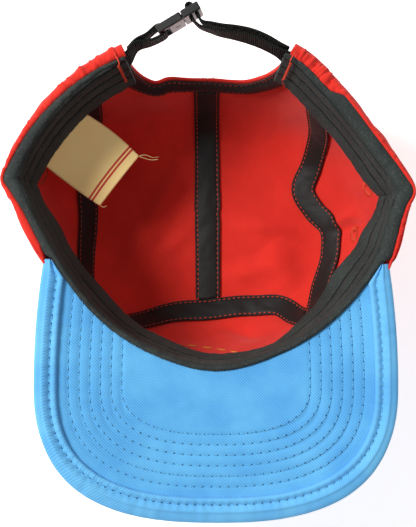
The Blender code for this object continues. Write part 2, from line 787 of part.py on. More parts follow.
def brim_outline(inset):
    """The brim's outer edge in plan from the right tail over the front to the left tail, drawn in by inset."""
    half_width = BRIM_HALF_WIDTH - inset
    front = BRIM_FRONT - BRIM_WIDEST - inset
    tail_y = rim_plan(RIM_OUTLINE[3], 1).y + CROWN_MIDDLE_Y + HEM_DEPTH
    right = []
    for step in range(12):
        back = 1 - step / 12
        y = -BRIM_WIDEST + back * (tail_y + BRIM_WIDEST)
        right.append(Vector((half_width - BRIM_TAPER * back**2, y)))
    for step in range(31):
        turn = math.pi / 2 * step / 30
        x = half_width * math.cos(turn) ** (2 / BRIM_SQUARENESS)
        y = -BRIM_WIDEST - front * math.sin(turn) ** (2 / BRIM_SQUARENESS)
        right.append(Vector((x, y)))
    left = [Vector((-point.x, point.y)) for point in right[::-1][1:]]
    return [point + Vector((BRIM_MIDDLE_X, 0)) for point in right + left]


def past_crown(place):
    """How far a plan position lies outside the rim, seen from the crown's middle."""
    reach = place - Vector((0, CROWN_MIDDLE_Y))
    return reach.length - rim_radius(math.atan2(reach.y, reach.x))


def board_outline():
    """The board's outer edge in plan, from the left tail over the front to the right tail, where it meets the rim."""
    outline = evenly_spaced(brim_outline(BOARD / 2 + GAP + BINDING)[::-1], 400)
    return [place for place in outline if past_crown(place) > 0]


def direction_of(place):
    return wrapped(math.atan2(place.y - CROWN_MIDDLE_Y, place.x))


BRIM_END_ANGLE = math.asin(math.sin(direction_of(board_outline()[-1]))) + BINDING / RIM_FRONT


def seam_plan(angle, distance):
    """Plan position that far inside the nominal rim."""
    place = on_wall(angle, 0)
    return off_cloth(place.x, place.y, distance).xy


def build_brim(group, shade):
    """The covered board, from the crown's seam to the binding."""
    across, out = 34, 5
    inner_gap = band_standoff() - 3 * GAP
    outline = board_outline()
    directions = rim_directions(direction_of(outline[0]), direction_of(outline[-1]), across)
    inner = [seam_plan(angle, inner_gap) for angle in directions]
    outer = evenly_spaced(outline, across)
    rows = []
    for start, end in zip(inner, outer):
        line = [start.lerp(end, step / out) for step in range(out + 1)]
        rows.append([Vector((point.x, point.y, brim_top(point.x) - BOARD)) for point in line])
    made = grid_object("brim", rows, shade, group, outwards=True)
    face_up(made)
    thicken(made, BOARD)
    return made


def face_up(made):
    if sum(polygon.normal.z * polygon.area for polygon in made.data.polygons) < 0:
        made.data.flip_normals()


def clear_leg(edge, out):
    """The binding's leg at a place of the board's edge, shortened where it would reach the crown."""
    leg, step = BINDING_LEG, 0.00025
    while leg > 2 * step and past_crown(edge - out * leg) < CLOTH + 3 * GAP:
        leg -= step
    return leg


def build_binding(group, shade):
    """The folded tape round the brim's edge: a channel of cloth with a leg on each face."""
    edge = evenly_spaced([place for place in board_outline() if past_crown(place) > CLOTH + 5 * GAP], 42)
    half = BOARD / 2 + GAP
    rows = []
    for index, place in enumerate(edge):
        run = edge[min(index + 1, len(edge) - 1)] - edge[max(index - 1, 0)]
        out = Vector((run.y, -run.x)).normalized()
        if out.dot(place - Vector((0, CROWN_MIDDLE_Y))) < 0:
            out = -out
        leg = clear_leg(place, out)
        profile = [(-leg, half), (-leg / 2, half)]
        profile += [(half * math.sin(turn), half * math.cos(turn)) for turn in np.linspace(0, math.pi, 5)]
        profile += [(-leg / 2, -half), (-leg, -half)]
        row = []
        for along, up in profile:
            point = place + out * along
            row.append(Vector((point.x, point.y, brim_top(point.x) - BOARD / 2 + up)))
        rows.append(row)
    made = grid_object("brim_binding", rows, shade, group, outwards=True)
    orient_channel(made, edge)
    thicken(made, BINDING)
    return made


def orient_channel(made, edge):
    """Turns the channel's faces outwards: its outermost faces look away from the board's edge."""
    tree_middle = sum(edge, Vector((0, 0))) / len(edge)
    outermost = max(made.data.polygons, key=lambda polygon: abs(polygon.center.y))
    away = Vector((*(outermost.center.xy - tree_middle), 0))
    if outermost.normal.dot(away) < 0:
        made.data.flip_normals()


def buckle_point(along, out, up):
    """A point in the buckle's own frame: along its length, out from the cap, and up, from its middle."""
    level = Vector((math.cos(BUCKLE_TURN), math.sin(BUCKLE_TURN), 0))
    run = level * math.cos(BUCKLE_TILT) + Vector((0, 0, math.sin(BUCKLE_TILT)))
    side = Vector((-level.y, level.x, 0))
    middle = Vector((BUCKLE_X, BUCKLE_Y, strap_height()))
    return middle + run * along + side * out + run.cross(side) * up


def strap_height():
    return CROWN_HEIGHT - STRAP_DROP - WEBBING_WIDTH / 2


def socket_bar():
    """Distance of the socket's webbing bar from the buckle's middle."""
    return BUCKLE_LENGTH / 2 - BUCKLE_BAR / 2


def plug_bar():
    """Distance of the plug's middle bar, between its two slots, from the buckle's middle."""
    return BUCKLE_LENGTH / 2 - PLUG_END - PLUG_SLOT - PLUG_BAR / 2


def edges_at(along, out):
    """Top and bottom edge points of webbing that lies in the buckle's frame."""
    return [buckle_point(along, out, up) for up in (WEBBING_WIDTH / 2, -WEBBING_WIDTH / 2)]


def in_pocket(side, past, distance):
    """Edge points that far past the back corner towards the opening, and that far inside the panels."""
    corner = side_angle(BACK_CORNER_ANGLE, side)
    turn = side * past / rim_radius(corner)
    return [off_cloth(*on_wall(corner + turn, depth), distance) for depth in (STRAP_DROP, STRAP_DROP + WEBBING_WIDTH)]


def left_runs(start, end):
    """The left webbing between its pocket and its pocket again: round the socket's bar, with both strands bowed."""
    turn = BUCKLE_BAR * 0.75 + GAP + WEBBING / 2
    apart = WEBBING / 2 + 2 * GAP
    bar = buckle_point(-socket_bar(), 0, 0)
    along_bar = buckle_point(-socket_bar(), 0, WEBBING_WIDTH / 2) - bar
    upright = Vector((0, 0, WEBBING_WIDTH / 2))
    leaving = sum(start, Vector()) / 2 - bar
    leaving = Vector((leaving.x, leaving.y, 0)).normalized()
    outwards = Vector((leaving.y, -leaving.x, 0))

    def at_bar(along, out, half=along_bar):
        place = bar + leaving * along + outwards * out
        return [place + half, place - half]

    runs = {}
    for out, first, opens, bow in (
        (-1, start, 0.0, STRAP_LEFT_INNER_BOW),
        (1, end, STRAP_LEFT_OPENS, STRAP_LEFT_OUTER_BOW),
    ):
        closing = at_bar(STRAP_CLOSES, out * apart + opens, upright)
        runs[out] = [[a.lerp(b, 0.5) + outwards * bow for a, b in zip(first, closing)], closing]
    wrap = [
        at_bar(-turn * math.cos(swing), turn * math.sin(swing)) for swing in [math.radians(d) for d in (-75, -25, 25, 75)]
    ]
    return runs[-1] + wrap + runs[1][::-1]


def right_runs(start, end):
    """The right webbing: in a hanging curve to the plug, through its two slots round the middle bar, and back."""
    bar, corner = (buckle_point(plug_bar(), 0, 0), sum(start, Vector()) / 2)
    way = Vector((corner.x - bar.x, corner.y - bar.y, 0))
    outwards = Vector((-way.y, way.x, 0)).normalized()
    runs = {}
    for out in (-1, 1):
        runs[out] = []
        for row in STRAP_HANGS:
            apart = WEBBING / 2 + 2 * GAP + STRAP_OPENS * math.sin(math.pi * row.share)
            place = bar.lerp(corner, row.share) + outwards * (row.offset * STRAP_SLACK + out * apart)
            tilt = row.tilt * STRAP_TILT
            half = (outwards * math.sin(tilt) + Vector((0, 0, math.cos(tilt)))) * WEBBING_WIDTH / 2
            runs[out].append([place + half, place - half])
    reach = (PLUG_BAR + PLUG_SLOT) / 2
    mouth = BUCKLE_THICKNESS / 2 + GAP
    wrap = [edges_at(plug_bar() - reach, -mouth)]
    for degrees in (0, 45, 90, 135, 180):
        swing = math.radians(degrees)
        wrap.append(edges_at(plug_bar() - reach * math.cos(swing), STRAP_KNOB + reach * math.sin(swing)))
    wrap.append(edges_at(plug_bar() + reach, -mouth))
    return runs[-1][::-1] + wrap + runs[1]


def webbing_loop(side):
    """Top and bottom edge points of the doubled webbing of one side, from the pocket round the bar and back out."""
    inside = TAPE_STANDOFF + TAPE / 2
    apart = WEBBING / 2 + 2 * GAP
    inner = [in_pocket(side, -WEBBING_POCKET * share, inside) for share in (1, 0.5, 0)]
    outer_end = in_pocket(side, 2 * WEBBING, inside - 2 * apart)
    between = right_runs if side > 0 else left_runs
    return inner + between(inner[-1], outer_end) + [outer_end]


def build_webbing(side, group, shade):
    stations = webbing_loop(side)
    tops = smooth_line([station[0] for station in stations], 3)
    bottoms = smooth_line([station[1] for station in stations], 3)
    rows = [[top, top.lerp(bottom, 0.5), bottom] for top, bottom in zip(tops, bottoms)]
    name = "webbing_right" if side > 0 else "webbing_left"
    made = grid_object(name, rows, shade, group, outwards=True)
    wall = thicken(made, WEBBING)
    wall.offset = 0
    return made


def block(name, low, high, group, shade=None):
    """A box between two corners in the buckle's frame, placed and turned with the buckle."""
    bpy.ops.mesh.primitive_cube_add(size=1)
    made = bpy.context.object
    made.name = name
    size = Vector(high) - Vector(low)
    for vertex in made.data.vertices:
        vertex.co = Vector([c * s for c, s in zip(vertex.co, size)])
    made.location = buckle_point(*((Vector(low) + Vector(high)) / 2))
    made.rotation_euler = (0, -BUCKLE_TILT, BUCKLE_TURN)
    for old in list(made.users_collection):
        old.objects.unlink(made)
    group.objects.link(made)
    if shade:
        made.data.materials.append(shade)
    return made


def rounded(made, width):
    edge = made.modifiers.new("rounded", "BEVEL")
    edge.width = width
    edge.segments = 2
    edge.limit_method = "ANGLE"
    return made


def shaped(made, helper, operation):
    """Cuts a helper from a piece, or joins it, and hides the helper."""
    helper.hide_render = True
    helper.display_type = "WIRE"
    change = made.modifiers.new(helper.name, "BOOLEAN")
    change.object = helper
    change.operation = operation
    return made


def buckle_half(name, start, end, slots, group, cutters, shade):
    """A rounded block between two places along the buckle, with a slot through it for each strand of webbing."""
    half_width, half_thick = BUCKLE_WIDTH / 2, BUCKLE_THICKNESS / 2
    made = block(name, (start, -half_thick, -half_width), (end, half_thick, half_width), group, shade)
    rounded(made, BUCKLE_ROUNDING)
    half_slot = WEBBING_WIDTH / 2 + 2 * GAP
    for index, (low, high) in enumerate(slots):
        slot = block(f"{name}_slot_{index}", (low, -half_thick * 2, -half_slot), (high, half_thick * 2, half_slot), cutters)
        shaped(made, slot, "DIFFERENCE")
    return made


def build_socket(seam, cavity_end, group, cutters, shade):
    """The buckle's socket: its bar is thinner than its rim, and its cavity has a window outside and a hole inside."""
    half_thick = BUCKLE_THICKNESS / 2
    bar_end = BUCKLE_BAR - BUCKLE_LENGTH / 2
    slot_end = bar_end + BUCKLE_SLOT
    socket = buckle_half(
        "buckle_socket", -BUCKLE_LENGTH / 2, seam, [(bar_end, slot_end)], group, cutters, shade
    )
    half_slot = WEBBING_WIDTH / 2 + 2 * GAP
    for face, out in (("front", 1), ("back", -1)):
        near, far = sorted((out * BUCKLE_BAR / 2, out * half_thick * 2))
        low, high = -BUCKLE_LENGTH, bar_end + BUCKLE_SLOT / 2
        relief = block(f"socket_{face}_relief", (low, near, -half_slot), (high, far, half_slot), cutters)
        shaped(socket, relief, "DIFFERENCE")
    half_high = BUCKLE_WIDTH / 2 - 2 * BUCKLE_WALL
    deep = half_thick - BUCKLE_WALL
    cavity = block("socket_cavity", (cavity_end, -deep, -half_high), (seam * 2, deep, half_high), cutters)
    shaped(socket, cavity, "DIFFERENCE")
    low, high = cavity_end + GAP, cavity_end + GAP + BUTTON_LENGTH
    window = block("socket_window", (low, deep / 2, -BUTTON_WIDTH / 2), (high, BUCKLE_WIDTH, BUTTON_WIDTH / 2), cutters)
    shaped(socket, window, "DIFFERENCE")
    half_long, half_hole = CATCH_HOLE_LENGTH / 2, CATCH_HOLE / 2
    hole_at = (low + high) / 2
    hole = block(
        "catch_hole", (hole_at - half_long, -BUCKLE_WIDTH, -half_hole), (hole_at + half_long, -deep / 2, half_hole), cutters
    )
    rounded(hole, half_hole * 0.9)
    shaped(socket, hole, "DIFFERENCE")
    return socket


def build_plug(seam, cavity_end, group, cutters, shade):
    """The buckle's plug: a ladder of two slots with a bar between them, and a tongue with the button in the window."""
    end = BUCKLE_LENGTH / 2
    outer_slot = (end - PLUG_END - PLUG_SLOT, end - PLUG_END)
    inner_slot = (outer_slot[0] - PLUG_BAR - PLUG_SLOT, outer_slot[0] - PLUG_BAR)
    plug = buckle_half("buckle_plug", seam + GAP, end, [inner_slot, outer_slot], group, cutters, shade)
    half_thick = BUCKLE_THICKNESS / 2
    deep = half_thick - BUCKLE_WALL - GAP
    half_high = BUCKLE_WIDTH / 2 - 2 * BUCKLE_WALL - GAP
    tongue = block("plug_tongue", (cavity_end + 2 * GAP, -deep, -half_high), (seam + 2 * GAP, deep, half_high), cutters)
    shaped(plug, tongue, "UNION")
    low, high = cavity_end + 3 * GAP, cavity_end + BUTTON_LENGTH - GAP
    half_button = BUTTON_WIDTH / 2 - 2 * GAP
    button = block("plug_button", (low, 0, -half_button), (high, half_thick - GAP, half_button), cutters)
    shaped(plug, button, "UNION")
    return plug


def build_buckle(group, cutters, shade):
    seam = BUCKLE_LENGTH * (BUCKLE_SHARE - 0.5)
    cavity_end = BUCKLE_BAR + BUCKLE_SLOT + BUCKLE_WALL - BUCKLE_LENGTH / 2
    build_socket(seam, cavity_end, group, cutters, shade)
    build_plug(seam, cavity_end, group, cutters, shade)


def eyelet_place(row, side):
    degrees, radius = (
        (row.right_degrees, row.right_radius) if side > 0 else (180 - row.left_degrees, row.left_radius)
    )
    angle = math.radians(degrees)
    return Vector((radius * math.cos(angle), radius * math.sin(angle)))


def build_eyelet(row, side, side_panel, group, cutters, shade):
    """A sewn eyelet: a ring with a flange on both faces of the panel, turned as a screw profile."""
    sheet = side_panel.data
    tree = BVHTree.FromPolygons([v.co for v in sheet.vertices], [tuple(p.vertices) for p in sheet.polygons])
    on_sheet, outwards, _, _ = tree.find_nearest(cloth(*eyelet_place(row, side)))
    wall_middle = on_sheet + outwards * CLOTH / 2
    into = -outwards
    turn = into.to_track_quat("Z", "Y")
    bpy.ops.mesh.primitive_cylinder_add(vertices=EYELET_SIDES, radius=EYELET_NECK + GAP, depth=CLOTH * 6)
    hole = bpy.context.object
    hole.name = f"eyelet_hole_{row.place}_{'right' if side > 0 else 'left'}"
    hole.location = wall_middle
    hole.rotation_mode = "QUATERNION"
    hole.rotation_quaternion = turn
    for old in list(hole.users_collection):
        old.objects.unlink(hole)
    cutters.objects.link(hole)
    shaped(side_panel, hole, "DIFFERENCE")
    inner = CLOTH / 2 + 2 * GAP
    outer = inner + CLOTH
    profile = [
        (EYELET_FLANGE, outer - CLOTH / 3),
        (EYELET_FLANGE, inner),
        (EYELET_NECK, inner),
        (EYELET_NECK, -inner),
        (EYELET_FLANGE, -inner),
        (EYELET_FLANGE, CLOTH / 3 - outer),
        (EYELET_FLANGE - CLOTH / 2, -outer),
        (EYELET_HOLE, -outer + CLOTH / 2),
        (EYELET_HOLE, outer - CLOTH / 2),
        (EYELET_FLANGE - CLOTH / 2, outer),
    ]
    mesh = bpy.data.meshes.new("eyelet")
    mesh.from_pydata([(x, 0, z) for x, z in profile], [(i, (i + 1) % len(profile)) for i in range(len(profile))], [])
    made = mesh_object(f"eyelet_{row.place}_{'right' if side > 0 else 'left'}", mesh, shade, group)
    made.location = wall_middle
    made.rotation_mode = "QUATERNION"
    made.rotation_quaternion = turn
    screw = made.modifiers.new("turned", "SCREW")
    screw.steps = screw.render_steps = EYELET_SIDES
    screw.use_merge_vertices = True
    screw.merge_threshold = 0.00005
    return made


def build_label(group, shade):
    """The woven label: sewn under the sweatband's free edge, falling into the hollow."""
    across, down = 6, 6
    sewn = []
    for angle in np.linspace(LABEL_FROM, LABEL_TO, across + 1):
        place = on_wall(angle, BAND_WIDTH + GAP * 2)
        sewn.append(off_cloth(place.x, place.y, band_standoff() + band_lean(angle) + BAND / 2))
    run = Vector((math.cos(LABEL_DIRECTION), math.sin(LABEL_DIRECTION), 0))
    level = math.sqrt(LABEL_LENGTH**2 - LABEL_SAG**2)
    straight = sewn[0].lerp(sewn[-1], 0.5)
    rows = []
    for index, start in enumerate(sewn):
        end = sewn[0].lerp(sewn[-1], index / across) + run * level - Vector((0, 0, LABEL_SAG))
        row = []
        for step in range(down + 1):
            share = step / down
            fall = Vector((0, 0, LABEL_SAG * 0.25 * math.sin(math.pi * share)))
            row.append(start.lerp(end, share) - fall)
        rows.append(row)
    made = grid_object("label", rows, shade, group, outwards=False)
    face_up(made)
    thicken(made, LABEL)
    return made


def main():
    clear_scene()
    parts = collection("five_panel_cap")
    cutters = collection("cutters")
    red = material("red cotton", (0.78, 0.035, 0.025), 0.85)
    blue = material("sky blue twill", (0.14, 0.48, 0.85), 0.80)
    black = material("black cotton", (0.018, 0.017, 0.016), 0.90)
    nylon = material("black webbing", (0.015, 0.016, 0.015), 0.60)
    plastic = material("black plastic", (0.035, 0.033, 0.032), 0.40)
    cream = material("cream label", (0.78, 0.60, 0.36), 0.70)

    build_front_panel(parts, red)
    for side in (-1, 1):
        build_top_panel(side, parts, red)
        side_panel = build_side_panel(side, parts, red)
        for row in EYELETS:
            build_eyelet(row, side, side_panel, parts, cutters, red)
        build_webbing(side, parts, nylon)
    build_tapes(parts, black)
    build_sweatband(parts, black)
    build_brim(parts, blue)
    build_binding(parts, blue)
    build_buckle(parts, cutters, plastic)
    build_label(parts, cream)

    cap = bpy.data.objects.new("cap", None)
    parts.objects.link(cap)
    for made in list(parts.objects) + list(cutters.objects):
        if made is not cap:
            made.parent = cap


main()
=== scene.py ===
"""Five-panel cap lying on its crown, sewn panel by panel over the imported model.

Metres, +Z up. The brim points to -Y and the strap closes the back at +Y. The crown is one cloth surface
worked out from a flat pattern: a disc whose middle is the middle of the crown's top and whose edge, at
radius 1, is the open rim.
"""

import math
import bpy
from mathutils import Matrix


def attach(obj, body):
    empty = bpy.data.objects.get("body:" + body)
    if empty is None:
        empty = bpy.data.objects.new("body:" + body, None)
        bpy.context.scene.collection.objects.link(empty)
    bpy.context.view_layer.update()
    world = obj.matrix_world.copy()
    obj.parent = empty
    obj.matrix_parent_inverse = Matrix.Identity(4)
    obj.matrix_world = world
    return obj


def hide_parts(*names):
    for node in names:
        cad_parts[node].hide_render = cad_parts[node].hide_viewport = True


bl_info = {
    "name": "Five-Panel Cap",
    "version": (1, 0, 0),
    "blender": (4, 5, 0),
    "location": "View3D > Sidebar > Cap",
    "description": "Sews a soft five-panel cap with its brim, sweatband, strap and label",
    "category": "Add Mesh",
}

from collections import namedtuple

import bpy
import numpy as np
from bpy.props import FloatProperty, FloatVectorProperty, IntProperty, PointerProperty
from mathutils import Vector

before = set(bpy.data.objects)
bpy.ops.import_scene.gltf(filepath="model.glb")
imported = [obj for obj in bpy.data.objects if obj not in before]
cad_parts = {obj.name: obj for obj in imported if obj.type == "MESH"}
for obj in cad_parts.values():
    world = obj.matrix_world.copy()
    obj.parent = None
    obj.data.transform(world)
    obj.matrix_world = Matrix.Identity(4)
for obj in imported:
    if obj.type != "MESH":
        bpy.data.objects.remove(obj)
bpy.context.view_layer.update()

# Crown
CROWN_HEIGHT = 0.096
CROWN_MIDDLE_Y = 0.030
RIM_HALF_WIDTH = 0.1025
RIM_FRONT = 0.0875
RIM_BACK = 0.078
TOP_HALF_WIDTH = 0.072
TOP_FRONT = 0.062
TOP_BACK = 0.052
TOP_SQUARENESS = 2.6
FRONT_BELLY = 0.010
SIDE_BELLY = 0.006
BACK_BELLY = 0.001
FOLD_DEPTH = 0.006
SHOULDER_RING = 0.5
SHOULDER_SHARE = 0.24

# Wrinkles of the cloth: how high, and how far apart
FINE_WRINKLE = 0.00022
FINE_WRINKLE_SIZE = 0.011
SOFT_WRINKLE = 0.00045
SOFT_WRINKLE_SIZE = 0.027

# Cloth, hem and tapes
CLOTH = 0.0012
HEM = 0.0028
HEM_DEPTH = 0.009
RIM_TURN = 0.0012
GAP = 0.0003
SEAM_GAP = 0.0005
TAPE_STANDOFF = 0.0010
TAPE_WIDTH = 0.0135
OPENING_TAPE_WIDTH = 0.0090
TAPE = 0.0010

# Rows of stitches: where they lie and how long each stitch is
TAPE_ROW_SHARE = 0.425
TAPE_STITCH = 0.0019
TOP_ROW_ASIDE = 0.0028
TOP_STITCH = 0.0022
BRIM_STITCH = 0.0036
BINDING_ROW = 0.0037
BINDING_STITCH = 0.0030
FRONT_STITCH = 0.0072
FRONT_PITCH = 0.0083
FRONT_THREAD = 0.0003

# Length and radius of a dark bead: painted shade in the hole at each stitch end
BRIM_HOLE_SHADE = 0.0011, 0.0004
BINDING_HOLE_SHADE = 0.0014, 0.0005

# The finish of each thread
THREAD_SLOTS = {
    "red thread": "red_thread",
    "ochre thread": "red_thread",
    "blue thread": "blue_twill",
    # Painted shade: dark beads stand for the shadow in the hole at each stitch end
    "needle hole": "blue_twill",
    "pale thread": "cream_label",
}

# Sweatband
BAND_WIDTH = 0.032
BAND = 0.0020
BAND_LEAN = 0.0100
BAND_LEFT_TAB = -0.0010
BAND_RIGHT_TAB = 0.0025
BAND_STANDOFF = 2 * TAPE_STANDOFF + TAPE
BAND_ROLL = 0.0014
BAND_ROLL_LINES = 9
BAND_FIRST_GROOVE = 0.08
BAND_GROOVE_STEP = 0.30
BAND_GROOVE_WIDTH = 0.035

# Back opening
OPENING_DEPTH = 0.050
BACK_CORNER_ANGLE = math.radians(61.2)

# Brim
BRIM_MIDDLE_X = 0.0040
BRIM_HALF_WIDTH = 0.0925
BRIM_FRONT = 0.132
BRIM_WIDEST = 0.062
BRIM_TAPER = 0.0065
BRIM_SQUARENESS = 2.5
BRIM_SEAM_HALF_WIDTH = 0.086
BRIM_ARCH = 0.008
BOARD = 0.0032
BINDING = 0.0013
BINDING_LEG = 0.0085
BRIM_SEAT = BOARD + 3 * GAP
BRIM_SEAT_FADE = math.radians(3.5)

# Strap and buckle
WEBBING_WIDTH = 0.015
WEBBING = 0.0012
WEBBING_POCKET = 0.010
STRAP_DROP = 0.0008
STRAP_SLACK = 0.0050
STRAP_LEFT_INNER_BOW = 0.0028
STRAP_LEFT_OUTER_BOW = 0.0010
STRAP_LEFT_OPENS = 0.0016
STRAP_OPENS = 0.0004
STRAP_CLOSES = 0.007
STRAP_TILT = math.radians(5)
STRAP_KNOB = 0.0024
BUCKLE_X = -0.0146
BUCKLE_Y = 0.1250
BUCKLE_TURN = math.radians(30)
BUCKLE_TILT = math.radians(5)
BUCKLE_LENGTH = 0.0248
BUCKLE_THICKNESS = 0.0044
BUCKLE_BAR = 0.0024
PLUG_END = 0.0018
PLUG_SLOT = 0.0021
PLUG_BAR = 0.0014

# Label
LABEL_LENGTH = 0.039
LABEL_SAG = 0.017
LABEL = 0.0010
LABEL_FROM = math.radians(164.5)
LABEL_TO = math.radians(142.0)
LABEL_DIRECTION = math.radians(-37)
LABEL_STRIPES = 0.0082, 0.0062

# Steps of the coarse pattern grids, and how much finer the cloth is laid here
SEAM_STEPS = 27
WALL_STEPS = 7
CROSS_STEPS = 10
FINE = 8

# The camera over the cap, the picture's height against its focal length, and the key light
CAMERA_HEIGHT = 0.646
PICTURE_HEIGHT = 527
FOCAL_PIXELS = 1085
SENSOR = 24.0
LAMP_PLACE = -0.92, 0.42, 1.15
LAMP_AIM = 0, 0.02, 0.05

# Pattern points on both sides: the rim's as shares of its reaches, the seams' as pattern places
PointRow = namedtuple("PointRow", "place left_across left_along right_across right_along")
RIM_OUTLINE = (
    PointRow("front middle", -0.04, -1.000, 0.04, -1.000),
    PointRow("front quarter", 0.32, -0.880, 0.40, -0.880),
    PointRow("brim shoulder", 0.58, -0.660, 0.67, -0.660),
    PointRow("brim tail", 0.80, -0.310, 0.89, -0.320),
    PointRow("before the fold", 0.970, 0.080, 0.975, 0.000),
    PointRow("side fold", 1.000, 0.165, 1.000, 0.085),
    PointRow("after the fold", 0.975, 0.260, 0.955, 0.200),
    PointRow("back side", 0.87, 0.510, 0.78, 0.510),
    PointRow("back quarter", 0.68, 0.790, 0.62, 0.770),
    PointRow("back corner", 0.425, 1.000, 0.425, 1.000),
    PointRow("back middle", 0.00, 1.120, 0.00, 1.120),
)

SIDE_SEAM = (
    PointRow("back rim", 0.707, 0.707, 0.707, 0.707),
    PointRow("under the sweatband", 0.620, 0.555, 0.590, 0.560),
    PointRow("back wall", 0.556, 0.410, 0.535, 0.380),
    PointRow("back shoulder", 0.522, 0.250, 0.450, 0.205),
    PointRow("side", 0.511, 0.080, 0.393, 0.095),
    PointRow("side middle", 0.510, 0.000, 0.440, 0.015),
    PointRow("side front", 0.516, -0.100, 0.508, -0.060),
    PointRow("front shoulder", 0.530, -0.230, 0.505, -0.180),
    PointRow("front wall", 0.550, -0.370, 0.480, -0.330),
    PointRow("junction", 0.560, -0.540, 0.500, -0.500),
)
JUNCTION_SEAM = (
    PointRow("junction", 0.560, -0.540, 0.500, -0.500),
    PointRow("front wall", 0.680, -0.585, 0.650, -0.565),
    PointRow("front rim", 0.798, -0.603, 0.798, -0.603),
)
CROSS_SEAM = (
    PointRow("middle", 0.000, -0.470, 0.000, -0.470),
    PointRow("quarter", 0.160, -0.468, 0.200, -0.425),
    PointRow("shoulder", 0.300, -0.500, 0.310, -0.415),
    PointRow("wall", 0.420, -0.535, 0.400, -0.470),
    PointRow("junction", 0.560, -0.540, 0.500, -0.500),
)

# Soft dents of the crown: middle and spread on the pattern, and push as a share of FOLD_DEPTH. A positive
# push stands into the hollow.
FoldRow = namedtuple("FoldRow", "place across along spread_across spread_along push")
FOLDS = (
    FoldRow("right side buckle", 0.50, 0.12, 0.13, 0.11, 0.5),
    FoldRow("right side swell", 0.60, -0.16, 0.16, 0.12, -0.4),
    FoldRow("right front crease", 0.34, -0.28, 0.09, 0.12, 0.4),
    FoldRow("left front crease", -0.34, -0.26, 0.12, 0.09, 0.4),
    FoldRow("left side hollow", -0.68, 0.18, 0.12, 0.14, 0.5),
    FoldRow("back wrinkle", -0.26, 0.66, 0.10, 0.10, 0.5),
    FoldRow("front left dimple", -0.27, -0.66, 0.10, 0.08, 0.4),
)

# The eyelets on each side: degrees towards the back from straight sideways, and radius on the pattern
EyeletRow = namedtuple("EyeletRow", "place left_degrees left_radius right_degrees right_radius")
EYELETS = (
    EyeletRow("front", -9.0, 0.69, -9.0, 0.625),
    EyeletRow("back", 11.0, 0.765, 7.5, 0.715),
)

# The back opening's edge on each side: share of the way from its middle to the corner, and of its depth
OpeningRow = namedtuple("OpeningRow", "place left_share left_depth right_share right_depth")
OPENING = (
    OpeningRow("middle", 0.00, 1.00, 0.00, 1.00),
    OpeningRow("quarter", 0.31, 0.96, 0.33, 1.03),
    OpeningRow("half", 0.60, 0.86, 0.56, 1.01),
    OpeningRow("before the turn", 0.78, 0.88, 0.72, 0.91),
    OpeningRow("turn", 0.90, 0.78, 0.87, 0.72),
    OpeningRow("past the turn", 0.98, 0.56, 0.95, 0.48),
    OpeningRow("below the corner", 1.00, 0.28, 0.99, 0.24),
    OpeningRow("corner", 1.00, 0.00, 1.00, 0.00),
)

# How far the sweatband's free edge leans into the hollow, as a share of BAND_LEAN, by direction from the
# right side
LeanRow = namedtuple("LeanRow", "place degrees share")
LEANS = (
    LeanRow("left back corner", -240, 0.0),
    LeanRow("left back", -208, 0.2),
    LeanRow("left fold", -184, 0.0),
    LeanRow("past the left fold", -168, 0.45),
    LeanRow("left front", -140, 0.87),
    LeanRow("front left quarter", -112, 0.55),
    LeanRow("front middle", -88, 0.25),
    LeanRow("front right quarter", -66, 0.08),
    LeanRow("right front corner", -46, 0.60),
    LeanRow("right front", -28, 1.0),
    LeanRow("before the right fold", -12, 0.60),
    LeanRow("right fold", 0, 0.0),
    LeanRow("past the right fold", 14, 0.45),
    LeanRow("right back", 36, 0.38),
    LeanRow("right back corner", 58, 0.0),
)

# How wide the red hem shows outside the sweatband's fold, by the same directions
HemRow = namedtuple("HemRow", "place degrees width")
HEMS = (
    HemRow("left back corner", -241, 0.0060),
    HemRow("left back", -222, 0.0046),
    HemRow("left", -205, 0.0030),
    HemRow("left fold", -187, 0.0016),
    HemRow("past the left fold", -178, 0.0036),
    HemRow("before the left brim tail", -166, 0.0034),
    HemRow("left brim tail", -160, 0.0010),
    HemRow("right brim tail", -20, 0.0008),
    HemRow("before the right brim tail", -13, 0.0020),
    HemRow("right front", -6, 0.0026),
    HemRow("right fold", 4, 0.0012),
    HemRow("past the right fold", 16, 0.0020),
    HemRow("right back", 38, 0.0012),
    HemRow("notch", 43, 0.0060),
    HemRow("right back corner", 61, 0.0064),
)

# How the right strap hangs between the plug's bar and the crown's back corner, in a sideways curve
HangRow = namedtuple("HangRow", "place share offset tilt")
STRAP_HANGS = (
    HangRow("below the bar", 0.12, -0.70, -1.2),
    HangRow("bend", 0.21, -0.55, -0.6),
    HangRow("past the bend", 0.31, -0.35, 0.0),
    HangRow("before the middle", 0.44, 0.06, 0.6),
    HangRow("past the middle", 0.58, 0.38, 1.0),
    HangRow("towards the corner", 0.73, 0.50, 1.0),
    HangRow("at the corner", 0.88, 0.40, 1.0),
)

